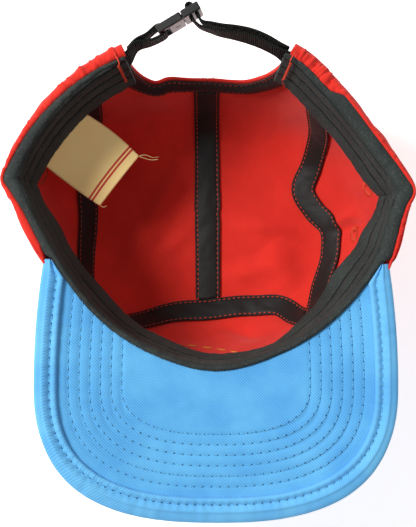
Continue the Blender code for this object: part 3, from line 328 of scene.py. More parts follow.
# Creases of the cloth between two pattern points. A positive push stands into the hollow.
CreaseRow = namedtuple("CreaseRow", "place from_across from_along to_across to_along width push")
CREASES = (
    CreaseRow("left diagonal", -0.10, 0.35, -0.39, -0.33, 0.0075, 0.0042),
    CreaseRow("low left", -0.24, -0.20, -0.05, -0.06, 0.0045, 0.0018),
    CreaseRow("right front dent", 0.22, -0.13, 0.38, -0.34, 0.0090, 0.0054),
    CreaseRow("beside the dent", 0.15, -0.24, 0.30, -0.36, 0.0040, 0.0021),
    CreaseRow("across the right", 0.07, -0.05, 0.38, -0.07, 0.0042, 0.00195),
    CreaseRow("low right", 0.06, -0.30, 0.31, -0.20, 0.0060, 0.00285),
    CreaseRow("right side fold", 0.51, -0.05, 0.65, -0.00, 0.0028, 0.0027),
    CreaseRow("right side fold below", 0.52, -0.09, 0.66, -0.05, 0.0028, -0.0027),
    CreaseRow("front left", -0.30, -0.60, -0.12, -0.52, 0.0050, 0.0021),
    CreaseRow("front right", 0.05, -0.53, 0.26, -0.58, 0.0050, -0.0021),
    CreaseRow("back left", -0.30, 0.52, -0.22, 0.30, 0.0050, 0.0018),
)

# How far each bar tack lies from the back corner, and how far its last stitch runs on
TackRow = namedtuple("TackRow", "place side back tail")
BAR_TACKS = (
    TackRow("left", -1, 0.0055, 0.0),
    TackRow("right", 1, 0.0024, 0.0038),
)

# Pattern points of the line of long stitches across the front panel
FRONT_STITCHES = (
    (-0.195, -0.665),
    (-0.115, -0.640),
    (-0.057, -0.645),
    (0.020, -0.655),
    (0.100, -0.670),
    (0.188, -0.692),
)

# Shares of a tape's width at which its mesh has lines, close together at its two rows of stitches
TAPE_HALF_SHARES = (0.5, 0.475, 0.45, TAPE_ROW_SHARE, 0.39, 0.3, 0.15)
TAPE_SHARES = np.array([-share for share in TAPE_HALF_SHARES] + [0] + list(TAPE_HALF_SHARES[::-1]))
TAPE_MIDDLE = len(TAPE_HALF_SHARES)
TAPE_ROWS = np.flatnonzero(np.abs(TAPE_SHARES) == TAPE_ROW_SHARE)


def srgb(red, green, blue):
    """A display colour from 0 to 255 as linear values."""
    shares = np.array([red, green, blue]) / 255
    linear = np.where(shares <= 0.04045, shares / 12.92, ((shares + 0.055) / 1.055) ** 2.4)
    return tuple(float(value) for value in linear)


# The crown's surface on the pattern. Every function takes and gives whole arrays of places


def smooth_line(points, steps):
    """Points on a centripetal Catmull-Rom curve through the given ones, steps to each span."""
    points = np.asarray(points, float)
    ends = np.vstack([2 * points[0] - points[1], points, 2 * points[-1] - points[-2]])
    shares = (np.arange(steps) / steps)[:, None]
    made = []
    for before, start, end, after in zip(ends, ends[1:], ends[2:], ends[3:]):
        t1 = max(np.linalg.norm(start - before), 1e-9) ** 0.5
        t2 = t1 + max(np.linalg.norm(end - start), 1e-9) ** 0.5
        t3 = t2 + max(np.linalg.norm(after - end), 1e-9) ** 0.5
        t = t1 + (t2 - t1) * shares
        a1 = before + (start - before) * t / t1
        a2 = start + (end - start) * (t - t1) / (t2 - t1)
        a3 = end + (after - end) * (t - t2) / (t3 - t2)
        b1 = a1 + (a2 - a1) * t / t2
        b2 = a2 + (a3 - a2) * (t - t1) / (t3 - t1)
        made.append(b1 + (b2 - b1) * (t - t1) / (t2 - t1))
    return np.vstack([*made, points[-1:]])


def lengths_along(points):
    return np.concatenate([[0.0], np.cumsum(np.linalg.norm(np.diff(points, axis=0), axis=1))])


def sampled(points, along, at):
    """Points of a polyline where its running lengths reach the wanted ones."""
    return np.stack([np.interp(at, along, points[:, axis]) for axis in range(points.shape[1])], axis=1)


def evenly_spaced(points, count):
    points = np.asarray(points, float)
    along = lengths_along(points)
    return sampled(points, along, np.linspace(0, along[-1], count + 1))


def unit(vectors):
    return vectors / np.maximum(np.linalg.norm(vectors, axis=-1, keepdims=True), 1e-12)


def rim_plan(row, side):
    across, along = (row.right_across, row.right_along) if side > 0 else (row.left_across, row.left_along)
    reach = RIM_FRONT if along < 0 else RIM_BACK
    return (side * across * RIM_HALF_WIDTH, along * reach)


def rim_table():
    """Directions and radii of the rim from the crown's middle, and a measure that crowds at its folds."""
    crowding = 0.16 * RIM_HALF_WIDTH
    steps = 48
    right = [rim_plan(row, 1) for row in RIM_OUTLINE]
    left = [rim_plan(row, -1) for row in RIM_OUTLINE]
    round_once = left[::-1] + right[1:-1]
    ring = smooth_line(round_once[-2:] + round_once + round_once[:3], steps)[2 * steps : -2 * steps]
    angles = np.unwrap(np.arctan2(ring[:, 1], ring[:, 0]))
    spans = np.diff(np.vstack([ring, ring[1]]), axis=0)
    turns = np.abs(np.angle(np.exp(1j * np.diff(np.arctan2(spans[:, 1], spans[:, 0])))))
    measure = np.cumsum(np.linalg.norm(spans[:-1], axis=1) + crowding * turns)
    return angles, np.linalg.norm(ring, axis=1), np.concatenate([[0.0], measure])


RIM_ANGLES, RIM_RADII, RIM_MEASURE = rim_table()


def wrapped(angle):
    return RIM_ANGLES[0] + (angle - RIM_ANGLES[0]) % (2 * math.pi)


def rim_radius(angle):
    return np.interp(wrapped(angle), RIM_ANGLES, RIM_RADII)


def rim_directions(start, end, count):
    low, high = np.interp([start, end], RIM_ANGLES, RIM_MEASURE)
    return np.interp(np.linspace(low, high, count + 1), RIM_MEASURE, RIM_ANGLES)


def top_radius(angle):
    reach = np.where(np.sin(angle) > 0, TOP_BACK, TOP_FRONT)
    across = np.abs(np.cos(angle)) / TOP_HALF_WIDTH
    along = np.abs(np.sin(angle)) / reach
    return (across**TOP_SQUARENESS + along**TOP_SQUARENESS) ** (-1 / TOP_SQUARENESS)


def brim_top(x):
    """Height of the brim's upward face, arched so that its middle lies lowest."""
    return CROWN_HEIGHT - BRIM_ARCH * (1 - ((x - BRIM_MIDDLE_X) / BRIM_SEAM_HALF_WIDTH) ** 2)


def rim_height(angle):
    x = rim_radius(angle) * np.cos(angle)
    return np.where(np.sin(angle) < 0, np.minimum(brim_top(x), CROWN_HEIGHT), CROWN_HEIGHT)


def belly(angle):
    end = np.where(np.sin(angle) > 0, BACK_BELLY, FRONT_BELLY)
    return SIDE_BELLY + (end - SIDE_BELLY) * np.sin(angle) ** 2


def wall_length(angle):
    return np.hypot(rim_radius(angle) - top_radius(angle), rim_height(angle) - CLOTH)


def smooth_cloth(places):
    """The inner face of the crown at pattern places, without its dents."""
    radius = np.hypot(places[..., 0], places[..., 1])
    angle = np.arctan2(places[..., 1], places[..., 0])
    low, high, rise = top_radius(angle), rim_radius(angle), rim_height(angle) - CLOTH
    bend_start = SHOULDER_RING * (1 - SHOULDER_SHARE)
    bend_end = SHOULDER_RING + (1 - SHOULDER_RING) * SHOULDER_SHARE
    stands_out = 4 * belly(angle)
    share = (radius - SHOULDER_RING) / (1 - SHOULDER_RING)
    wall_reach = low + (high - low) * share + stands_out * share * (1 - share)
    t = (radius - bend_start) / (bend_end - bend_start)
    outer = low + (high - low) * SHOULDER_SHARE + stands_out * SHOULDER_SHARE * (1 - SHOULDER_SHARE)
    bend_reach = (1 - t) ** 2 * low * (1 - SHOULDER_SHARE) + 2 * t * (1 - t) * low + t**2 * outer
    flat, wall = radius <= bend_start, radius >= bend_end
    reach = np.where(flat, low * radius / SHOULDER_RING, np.where(wall, wall_reach, bend_reach))
    lift = np.where(flat, 0.0, np.where(wall, rise * share, t**2 * rise * SHOULDER_SHARE))
    return np.stack([reach * np.cos(angle), CROWN_MIDDLE_Y + reach * np.sin(angle), CLOTH + lift], axis=-1)


def slopes(surface, places):
    step = 0.004
    across, along = np.array([step, 0.0]), np.array([0.0, step])
    by_across = (surface(places + across) - surface(places - across)) / (2 * step)
    by_along = (surface(places + along) - surface(places - along)) / (2 * step)
    return by_across, by_along


def inward(surface, places):
    return unit(np.cross(*slopes(surface, places)))


def dent(places):
    total = np.zeros(places.shape[:-1])
    for fold in FOLDS:
        across = (places[..., 0] - fold.across) / fold.spread_across
        along = (places[..., 1] - fold.along) / fold.spread_along
        total += fold.push * FOLD_DEPTH * np.exp(-(across**2) - along**2)
    return total


def cloth(places):
    return smooth_cloth(places) + inward(smooth_cloth, places) * dent(places)[..., None]


def off_cloth(places, distance):
    """Points that far inside the crown's inner face."""
    return cloth(places) + inward(cloth, places) * np.asarray(distance)[..., None]


def on_wall(angle, depth):
    """Pattern places on the wall in those directions, that far down from the nominal rim."""
    radius = 1 - (1 - SHOULDER_RING) * depth / wall_length(angle)
    return np.stack([radius * np.cos(angle), radius * np.sin(angle)], axis=-1)


def depth_of(places):
    """How far down the wall from the nominal rim pattern places lie, and their directions."""
    angle = np.arctan2(places[..., 1], places[..., 0])
    radius = np.hypot(places[..., 0], places[..., 1])
    return (1 - radius) / (1 - SHOULDER_RING) * wall_length(angle), angle


def stepped_aside(places, directions, distance):
    """Pattern places reached by going that far on the cloth in directions in space."""
    for _ in range(3):
        by_across, by_along = slopes(cloth, places)
        aa = (by_across * by_across).sum(-1)
        ab = (by_across * by_along).sum(-1)
        bb = (by_along * by_along).sum(-1)
        want = directions * (distance / 3)
        ra, rb = (by_across * want).sum(-1), (by_along * want).sum(-1)
        scale = aa * bb - ab * ab
        places = places + np.stack([(ra * bb - rb * ab) / scale, (rb * aa - ra * ab) / scale], axis=-1)
    return places


# Seams and edges of the pattern


def brim_outline(inset):
    """The brim's outer edge in plan, drawn in by inset, from the right tail over the front to the left."""
    half_width = BRIM_HALF_WIDTH - inset
    front = BRIM_FRONT - BRIM_WIDEST - inset
    tail_y = rim_plan(RIM_OUTLINE[3], 1)[1] + CROWN_MIDDLE_Y + HEM_DEPTH
    back = 1 - np.arange(24) / 24
    side_x = half_width - BRIM_TAPER * back**2
    sides = np.stack([side_x, -BRIM_WIDEST + back * (tail_y + BRIM_WIDEST)], axis=1)
    turn = np.linspace(0, math.pi / 2, 91)
    bow_x = half_width * np.cos(turn) ** (2 / BRIM_SQUARENESS)
    bow_y = -BRIM_WIDEST - front * np.sin(turn) ** (2 / BRIM_SQUARENESS)
    right = np.vstack([sides, np.stack([bow_x, bow_y], axis=1)])
    left = right[::-1][1:] * [-1, 1]
    return np.vstack([right, left]) + [BRIM_MIDDLE_X, 0]


def past_crown(plan):
    """How far plan positions lie outside the rim, seen from the crown's middle."""
    reach = plan - [0, CROWN_MIDDLE_Y]
    return np.hypot(reach[..., 0], reach[..., 1]) - rim_radius(np.arctan2(reach[..., 1], reach[..., 0]))


def direction_of(plan):
    return wrapped(np.arctan2(plan[..., 1] - CROWN_MIDDLE_Y, plan[..., 0]))


def board_outline(count=400):
    """The board's outer edge in plan, from the left tail over the front to the right one."""
    outline = evenly_spaced(brim_outline(BOARD / 2 + GAP + BINDING)[::-1], count)
    return outline[past_crown(outline) > 0]


BRIM_END_ANGLE = math.asin(math.sin(direction_of(board_outline()[-1]))) + BINDING / RIM_FRONT


def brim_seat(angle):
    past = np.arcsin(np.sin(angle)) - BRIM_END_ANGLE
    return np.clip(1 - past / BRIM_SEAT_FADE, 0, 1) * BRIM_SEAT


def panel_edge(angle):
    return on_wall(angle, brim_seat(angle))


def opening_line(side):
    """Lengths, turns and depths along one side of the back opening's outline, all as shares."""
    if side > 0:
        rows = [(row.right_share, row.right_depth) for row in OPENING]
    else:
        rows = [(row.left_share, row.left_depth) for row in OPENING]
    line = smooth_line(rows, 12)
    along = lengths_along(line)
    return along / along[-1], line[:, 0], line[:, 1]


OPENING_LINES = {side: opening_line(side) for side in (-1, 1)}


def opening_edge(share, side):
    along, turns, depths = OPENING_LINES[side]
    angle = math.pi / 2 - side * np.interp(share, along, turns) * (math.pi / 2 - BACK_CORNER_ANGLE)
    return on_wall(angle, OPENING_DEPTH * np.interp(share, along, depths))


def in_degrees(angle, first):
    """Directions in degrees, counted on from that first one."""
    return (np.degrees(angle) - first) % 360 + first


def band_lean(angle):
    """How far the sweatband's free edge leans into the hollow in those directions."""
    turns = np.array([row.degrees for row in LEANS], float)
    shares = np.array([row.share for row in LEANS])
    degrees = in_degrees(angle, turns[0])
    at = np.clip(np.searchsorted(turns, degrees, side="right") - 1, 0, len(turns) - 2)
    share = np.clip((degrees - turns[at]) / (turns[at + 1] - turns[at]), 0, 1)
    return BAND_LEAN * (shares[at] + (shares[at + 1] - shares[at]) * share * share * (3 - 2 * share))


def hem_width(angle):
    """How wide the red hem shows in those directions."""
    turns = [row.degrees for row in HEMS]
    return np.interp(in_degrees(angle, turns[0] - 5), turns, [row.width for row in HEMS])


def seam_points(rows, side):
    if side > 0:
        return np.array([(row.right_across, row.right_along) for row in rows])
    return np.array([(-row.left_across, row.left_along) for row in rows])


def side_angle(angle, side):
    return wrapped(angle if side > 0 else math.pi - angle)


def seam_direction(row, side):
    place = seam_points([row], side)[0]
    return wrapped(math.atan2(place[1], place[0]))


def side_seam(side, fine=FINE):
    seam = evenly_spaced(smooth_line(seam_points(SIDE_SEAM, side), 8 * fine), SEAM_STEPS * fine)
    seam[0] = panel_edge(seam_direction(SIDE_SEAM[0], side))
    return seam


def junction_seam(side, fine=FINE):
    seam = evenly_spaced(smooth_line(seam_points(JUNCTION_SEAM, side), 8 * fine), WALL_STEPS * fine)
    seam[-1] = panel_edge(seam_direction(JUNCTION_SEAM[-1], side))
    return seam


def whole_cross_seam(steps):
    return smooth_line(np.vstack([seam_points(CROSS_SEAM, -1)[::-1], seam_points(CROSS_SEAM, 1)[1:]]), steps)


def cross_seam(side, fine=FINE):
    whole = whole_cross_seam(8 * fine)
    middle = len(whole) // 2
    half = whole[middle:] if side > 0 else whole[: middle + 1][::-1]
    return evenly_spaced(half, CROSS_STEPS * fine)


def patch(back, front, first, last):
    """Pattern places between four lines: back and front run across, first and last from back to front."""
    u = np.linspace(0, 1, len(back))[None, :, None]
    v = np.linspace(0, 1, len(first))[:, None, None]
    ruled = back[None] * (1 - v) + front[None] * v + first[:, None] * (1 - u) + last[:, None] * u
    corners = (back[0] * (1 - u) + back[-1] * u) * (1 - v) + (front[0] * (1 - u) + front[-1] * u) * v
    return ruled - corners


# Unevenness of cloth


def soft_noise(x, y, size, seed):
    """Smooth seeded noise from -1 to 1 over two coordinates, with features of that size."""
    side = 64
    grid = np.random.default_rng(seed).uniform(-1, 1, (side, side))
    x, y = np.asarray(x) / size, np.asarray(y) / size
    column, row = np.floor(x).astype(int), np.floor(y).astype(int)
    fx, fy = x - column, y - row
    fx, fy = fx * fx * (3 - 2 * fx), fy * fy * (3 - 2 * fy)
    this_row, next_row = row % side, (row + 1) % side
    this_column, next_column = column % side, (column + 1) % side
    low = grid[this_row, this_column] * (1 - fx) + grid[this_row, next_column] * fx
    high = grid[next_row, this_column] * (1 - fx) + grid[next_row, next_column] * fx
    return low * (1 - fy) + high * fy


def near_line(points, start, end):
    """Distances of points from a straight line, and the share along it from 0 to 1."""
    run = end - start
    share = np.clip(((points - start) * run).sum(-1) / (run * run).sum(), 0, 1)
    away = np.linalg.norm(points - start - share[..., None] * run, axis=-1)
    return away, share


def wrinkles(places, points):
    """How far the cloth stands into the hollow at pattern places that lie at those points, never below
    the surface that the crown rests on."""
    x, y, z = points[..., 0], points[..., 1], points[..., 2]
    total = FINE_WRINKLE * soft_noise(x + z, y - z, FINE_WRINKLE_SIZE, 3)
    total += SOFT_WRINKLE * soft_noise(x - z, y + z, SOFT_WRINKLE_SIZE, 5)
    for row in CREASES:
        ends = cloth(np.array([(row.from_across, row.from_along), (row.to_across, row.to_along)]))
        away, share = near_line(points, ends[0], ends[1])
        fading = np.sin(math.pi * np.clip(share, 0.03, 0.97))
        total += row.push * np.exp(-((away / row.width) ** 2)) * fading
    return np.maximum(total, CLOTH - z)


# Meshes


def quads(rows, columns, start=0, flip=False):
    """Corner numbers of a grid's faces."""
    at = start + np.arange(rows * columns).reshape(rows, columns)
    faces = np.stack([at[:-1, :-1], at[:-1, 1:], at[1:, 1:], at[1:, :-1]], axis=-1).reshape(-1, 4)
    return faces[:, ::-1] if flip else faces


def grid_lengths(points):
    """Real lengths across and along a grid of points, from its middle, for patterns that follow the cloth."""
    middle = points.shape[0] // 2, points.shape[1] // 2
    across = np.linalg.norm(np.diff(points, axis=1), axis=-1)
    along = np.linalg.norm(np.diff(points, axis=0), axis=-1)
    u = np.concatenate([np.zeros((points.shape[0], 1)), np.cumsum(across, axis=1)], axis=1)
    v = np.concatenate([np.zeros((1, points.shape[1])), np.cumsum(along, axis=0)], axis=0)
    return np.stack([u - u[:, middle[1]][:, None], v - v[middle[0]][None]], axis=-1)


def in_scene(name, data):
    """An object of that name in the scene, from a mesh, a light or a camera."""
    made = bpy.data.objects.new(name, data)
    bpy.context.scene.collection.objects.link(made)
    return made


def mesh_piece(name, points, faces, shade, uv=None):
    """A smooth-shaded piece from points and faces, with an optional place on the cloth for each point."""
    mesh = bpy.data.meshes.new(name)
    corner_lists = [list(map(int, face)) for face in faces]
    mesh.from_pydata(np.asarray(points).reshape(-1, 3).tolist(), [], corner_lists)
    mesh.materials.append(shade)
    mesh.shade_smooth()
    if uv is not None:
        layer = mesh.uv_layers.new(name="cloth")
        corners = np.empty(len(mesh.loops), dtype=np.int32)
        mesh.loops.foreach_get("vertex_index", corners)
        layer.data.foreach_set("uv", np.asarray(uv, float).reshape(-1, 2)[corners].ravel())
    return in_scene(name, mesh)


def border(rows, columns):
    """Corner numbers round a grid, and each one's inner neighbour."""
    at = np.arange(rows * columns).reshape(rows, columns)
    ring = np.concatenate([at[0, :-1], at[:-1, -1], at[-1, :0:-1], at[:0:-1, 0]])
    inside = np.concatenate([at[1, :-1], at[:-1, -2], at[-2, :0:-1], at[:0:-1, 1]])
    return ring, inside


def shell(name, front, back, shade, uv=None, bulge=0.45):
    """A closed sheet between two grids of points, with rounded edges and its faces outward."""
    rows, columns = front.shape[:2]
    count = rows * columns
    ring, inside = border(rows, columns)
    flat_front, flat_back = front.reshape(-1, 3), back.reshape(-1, 3)
    middle = (flat_front[ring] + flat_back[ring]) / 2
    out = unit(middle - (flat_front[inside] + flat_back[inside]) / 2)
    thick = np.linalg.norm(flat_front[ring] - flat_back[ring], axis=1)[:, None]
    edge = middle + out * thick * bulge
    points = np.vstack([flat_front, flat_back, edge])
    following = np.roll(ring, -1)
    edge_at = 2 * count + np.arange(len(ring))
    edge_next = np.roll(edge_at, -1)
    upper = np.stack([ring, following, edge_next, edge_at], axis=1)
    lower = np.stack([edge_at, edge_next, following + count, ring + count], axis=1)
    faces = np.vstack([quads(rows, columns, 0, True), quads(rows, columns, count), upper, lower])
    if uv is None:
        uv = grid_lengths(front)
    flat_uv = uv.reshape(-1, 2)
    made = mesh_piece(name, points, faces, shade, np.vstack([flat_uv, flat_uv, flat_uv[ring]]))
    return faced_outward(made)


def faced_outward(piece):
    """A closed piece with its faces turned outward where they point in."""
    if volume(piece.data) < 0:
        piece.data.flip_normals()
    return piece


def volume(mesh):
    """Signed volume of a closed mesh: positive where its faces point outwards."""
    points = np.empty(len(mesh.vertices) * 3)
    mesh.vertices.foreach_get("co", points)
    points = points.reshape(-1, 3)
    mesh.calc_loop_triangles()
    corners = np.empty(len(mesh.loop_triangles) * 3, dtype=np.int32)
    mesh.loop_triangles.foreach_get("vertices", corners)
    a, b, c = (points[corners.reshape(-1, 3)[:, k]] for k in range(3))
    return float((a * np.cross(b, c)).sum() / 6)


def normals_of(points):
    """Unit normals of a grid of points, rows crossed with columns."""
    across = np.gradient(points, axis=1)
    along = np.gradient(points, axis=0)
    return unit(np.cross(across, along))


def finished(piece, slot, *nodes):
    """Hands a piece to the frame: it rides on the cap and stands for its nodes, which it hides. Its slot is
    not used.
    """
    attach(piece, "root")
    if nodes:
        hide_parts(*nodes)
    return piece


# Node groups and materials


class Nodes:
    """Adds and links nodes of one tree in few words."""

    def __init__(self, tree):
        self.tree = tree
        self.column = 0

    def add(self, kind, **settings):
        node = self.tree.nodes.new(kind)
        self.column += 1
        node.location = (200 * self.column, 0)
        for name, value in settings.items():
            setattr(node, name, value)
        return node

    def link(self, start, end):
        self.tree.links.new(start, end)

    def feed(self, socket, value):
        if isinstance(value, bpy.types.NodeSocket):
            self.link(value, socket)
        else:
            socket.default_value = value

    def fed(self, node, *values, **named):
        """A node with its inputs fed, in order or by name with spaces as underscores."""
        for socket, value in zip(node.inputs, values):
            self.feed(socket, value)
        for name, value in named.items():
            self.feed(node.inputs[name.replace("_", " ")], value)
        return node

    def made(self, kind, *values, **named):
        """The first output of a new node with its inputs fed."""
        return self.fed(self.add(kind), *values, **named).outputs[0]

    def math(self, operation, *values):
        return self.fed(self.add("ShaderNodeMath", operation=operation), *values).outputs[0]

    def mixed(self, share, first, second):
        """A colour between two."""
        node = self.add("ShaderNodeMix", data_type="RGBA")
        self.feed(node.inputs[0], share)
        self.feed(node.inputs[6], first)
        self.feed(node.inputs[7], second)
        return node.outputs[2]

    def noise(self, vector, scale, detail=2.0, rough=0.5):
        return self.made("ShaderNodeTexNoise", Vector=vector, Scale=scale, Detail=detail, Roughness=rough)

    def smooth(self, *values):
        """A value brought smoothly from one range to another: value, low, high, low there, high there."""
        node = self.add("ShaderNodeMapRange", interpolation_type="SMOOTHSTEP")
        return self.fed(node, *values).outputs[0]

    def coordinates(self, kind):
        return self.add("ShaderNodeTexCoord").outputs[kind]

    def split(self, vector):
        """The three parts of a vector."""
        return self.fed(self.add("ShaderNodeSeparateXYZ"), vector).outputs

    def raised(self, shader, height, strength, distance):
        """Relief on a shader: height as bump."""
        bump = self.made("ShaderNodeBump", Strength=strength, Distance=distance, Height=height)
        self.link(bump, shader.inputs["Normal"])


def new_finish(name, rough=None, gloss=None):
    """A new material, its nodes and its shader, with that roughness and specular level where given."""
    made = bpy.data.materials.new(name)
    made.use_nodes = True
    shader = made.node_tree.nodes["Principled BSDF"]
    if rough is not None:
        shader.inputs["Roughness"].default_value = rough
    if gloss is not None:
        shader.inputs["Specular IOR Level"].default_value = gloss
    return made, Nodes(made.node_tree), shader


def new_group(name, tree, inputs, outputs):
    """A node group with inputs as (name, kind, default) and outputs as (name, kind)."""
    group = bpy.data.node_groups.new(name, tree)
    for label, kind, default in inputs:
        socket = group.interface.new_socket(label, in_out="INPUT", socket_type="NodeSocket" + kind)
        if default is not None:
            socket.default_value = default
    for label, kind in outputs:
        group.interface.new_socket(label, in_out="OUTPUT", socket_type="NodeSocket" + kind)
    nodes = Nodes(group)
    start = nodes.add("NodeGroupInput")
    end = nodes.add("NodeGroupOutput")
    return group, nodes, start.outputs, end.inputs


def weave_group():
    """Threads of a plain or slanted weave: their height, and a mask of the shade between them."""
    group, nodes, given, out = new_group(
        "Woven Threads",
        "ShaderNodeTree",
        [
            ("Vector", "Vector", None),
            ("Spacing", "Float", 0.0006),
            ("Slant", "Float", 0.0),
            ("Uneven", "Float", 0.2),
        ],
        [("Height", "Float"), ("Shade", "Float")],
    )
    parts = nodes.split(given["Vector"])
    turn = nodes.math("DIVIDE", 2 * math.pi, given["Spacing"])
    wander = nodes.math("MULTIPLY", nodes.noise(given["Vector"], 700.0, 1.0), given["Uneven"])
    wander = nodes.math("MULTIPLY", wander, 4.0)
    u = nodes.math("ADD", nodes.math("MULTIPLY", parts[0], turn), wander)
    v = nodes.math("ADD", nodes.math("MULTIPLY", parts[1], turn), wander)
    plain = nodes.math("MULTIPLY", nodes.math("SINE", u), nodes.math("SINE", v))
    diagonal = nodes.math("ADD", nodes.math("MULTIPLY", u, 0.5), nodes.math("MULTIPLY", v, 0.5))
    ridge = nodes.math("SINE", diagonal)
    both = nodes.add("ShaderNodeMix", data_type="FLOAT")
    nodes.feed(both.inputs[0], given["Slant"])
    nodes.feed(both.inputs[2], plain)
    nodes.feed(both.inputs[3], ridge)
    height = nodes.math("MULTIPLY_ADD", both.outputs[0], 0.5, 0.5)
    nodes.link(height, out["Height"])
    nodes.link(nodes.math("SUBTRACT", 1.0, height), out["Shade"])
    return group


def wear_group():
    """Slow changes of shade over a cloth, with a little lint."""
    group, nodes, given, out = new_group(
        "Cloth Wear",
        "ShaderNodeTree",
        [("Vector", "Vector", None), ("Patch Size", "Float", 0.03), ("Lint", "Float", 0.1)],
        [("Shade", "Float"), ("Lint", "Float")],
    )
    scale = nodes.math("DIVIDE", 1.0, given["Patch Size"])
    nodes.link(nodes.noise(given["Vector"], scale, 3.0, 0.55), out["Shade"])
    specks = nodes.smooth(nodes.noise(given["Vector"], 1100.0, 2.0), 0.52, 0.72)
    nodes.link(nodes.math("MULTIPLY", specks, given["Lint"]), out["Lint"])
    return group


def shared_group(name, builder):
    return bpy.data.node_groups.get(name) or builder()


def cloth_material(
    name,
    colour,
    shade,
    spacing,
    slant=0.0,
    rough=0.85,
    sheen=0.1,
    bump=0.12,
    vector="UV",
    lint=0.0,
    lint_colour=None,
    contrast=0.55,
):
    """Woven cloth: two close colours over its threads, slow shading, a little lint, its threads as bump."""
    made, nodes, shader = new_finish(name, rough, 0.3)
    place = nodes.coordinates(vector)
    woven = shared_group("Woven Threads", weave_group)
    weave = nodes.fed(
        nodes.add("ShaderNodeGroup", node_tree=woven), Vector=place, Spacing=spacing, Slant=slant, Uneven=0.25
    )
    body = nodes.coordinates("Object")
    worn = shared_group("Cloth Wear", wear_group)
    wear = nodes.fed(nodes.add("ShaderNodeGroup", node_tree=worn), Vector=body, Patch_Size=0.025, Lint=lint)
    mask = nodes.math("MULTIPLY", weave.outputs["Shade"], contrast)
    mask = nodes.math("ADD", mask, nodes.smooth(wear.outputs["Shade"], 0.3, 0.75, 0.3, -0.1))
    tone = nodes.mixed(mask, (*colour, 1), (*shade, 1))
    if lint_colour:
        tone = nodes.mixed(wear.outputs["Lint"], tone, (*lint_colour, 1))
    nodes.link(tone, shader.inputs["Base Color"])
    shader.inputs["Sheen Weight"].default_value = sheen
    shader.inputs["Sheen Roughness"].default_value = 0.5
    nodes.raised(shader, weave.outputs["Height"], bump, spacing)
    return made


def thread_material(name, colour):
    """Twisted sewing thread, a little darker between its plies."""
    made, nodes, shader = new_finish(name, 0.6, 0.3)
    body = nodes.coordinates("Object")
    plies = nodes.smooth(nodes.noise(body, 2500.0, 1.0), 0.35, 0.7)
    dark = tuple(0.55 * c for c in colour)
    nodes.link(nodes.mixed(plies, (*dark, 1), (*colour, 1)), shader.inputs["Base Color"])
    return made


def webbing_material(name, colour, light, rib):
    """Ribbed webbing: dark yarn with a painted highlight on each rib, brightest along its two corded edges.
    """
    made, nodes, shader = new_finish(name, 0.75, 0.12)
    parts = nodes.split(nodes.coordinates("UV"))
    half = WEBBING_WIDTH / 2
    from_middle = nodes.math("ABSOLUTE", nodes.math("SUBTRACT", parts[0], half))
    at_edge = nodes.smooth(from_middle, half - 0.0016, half - 0.0004)
    turn = nodes.math("MULTIPLY", parts[1], 2 * math.pi / rib)
    wave = nodes.math("SINE", nodes.math("ADD", turn, nodes.math("MULTIPLY", parts[0], 500.0)))
    ridge = nodes.smooth(wave, 0.1, 0.95)
    # Painted highlight: the tops of the ribs are lightened where light catches them, most along the corded
    # edges
    worn = nodes.math("MULTIPLY", ridge, nodes.math("MULTIPLY_ADD", at_edge, 0.65, 0.35))
    nodes.link(nodes.mixed(worn, (*colour, 1), (*light, 1)), shader.inputs["Base Color"])
    nodes.raised(shader, wave, 0.7, 0.0004)
    return made


def lined(made, middles, half_width, soft, colour):
    """Puts lines of another colour across a cloth, at those places of its first cloth direction."""
    nodes = Nodes(made.node_tree)
    shader = made.node_tree.nodes["Principled BSDF"]
    ground = shader.inputs["Base Color"].links[0].from_socket
    parts = nodes.split(nodes.coordinates("UV"))
    share = 0.0
    for middle in middles:
        away = nodes.math("ABSOLUTE", nodes.math("SUBTRACT", parts[0], middle))
        share = nodes.math("ADD", nodes.smooth(away, half_width, half_width + soft, 1.0, 0.0), share)
    nodes.link(nodes.mixed(share, ground, (*colour, 1)), shader.inputs["Base Color"])
    return made


def label_material(name):
    """Woven satin with a plain double stripe near its free end."""
    colours = bpy.context.scene.cap_colours
    thread = bpy.context.scene.cap_sizes.tape_thread
    made = cloth_material(
        name, colours.label, colours.label_shade, thread, rough=0.5, sheen=0.15, bump=0.2
    )
    stripes = [LABEL_LENGTH / 2 - from_end for from_end in LABEL_STRIPES]
    return lined(made, stripes, 0.00048, 0.0002, colours.stripe)


def band_material(name):
    """Brushed black cotton with a little lint, and painted shade along the grooves where its quilting is sewn
    down.
    """
    colours = bpy.context.scene.cap_colours
    made = cloth_material(
        name,
        colours.band,
        colours.band_shade,
        bpy.context.scene.cap_sizes.tape_thread,
        slant=0.5,
        rough=0.8,
        sheen=0.04,
        bump=0.1,
        lint=0.28,
        lint_colour=colours.lint,
    )
    # Painted shade: dark lines along the quilting's grooves stand for the shadow in them
    sewn = [groove * BAND_WIDTH for groove in band_grooves()]
    return lined(made, sewn, 0.0003, 0.0011, tuple(0.12 * c for c in colours.band_shade))


def plastic_material(name, colour):
    """Satin moulded plastic with a fine grain, paler where it is scuffed."""
    made, nodes, shader = new_finish(name)
    body = nodes.coordinates("Object")
    scuffs = nodes.smooth(nodes.noise(body, 260.0, 3.0, 0.6), 0.5, 0.8)
    pale = tuple(2.2 * c + 0.006 for c in colour)
    tone = nodes.mixed(nodes.math("MULTIPLY", scuffs, 0.4), (*colour, 1), (*pale, 1))
    nodes.link(tone, shader.inputs["Base Color"])
    nodes.link(nodes.smooth(scuffs, 0.0, 1.0, 0.36, 0.52), shader.inputs["Roughness"])
    nodes.raised(shader, nodes.noise(body, 3000.0, 1.0), 0.12, 0.0003)
    return made


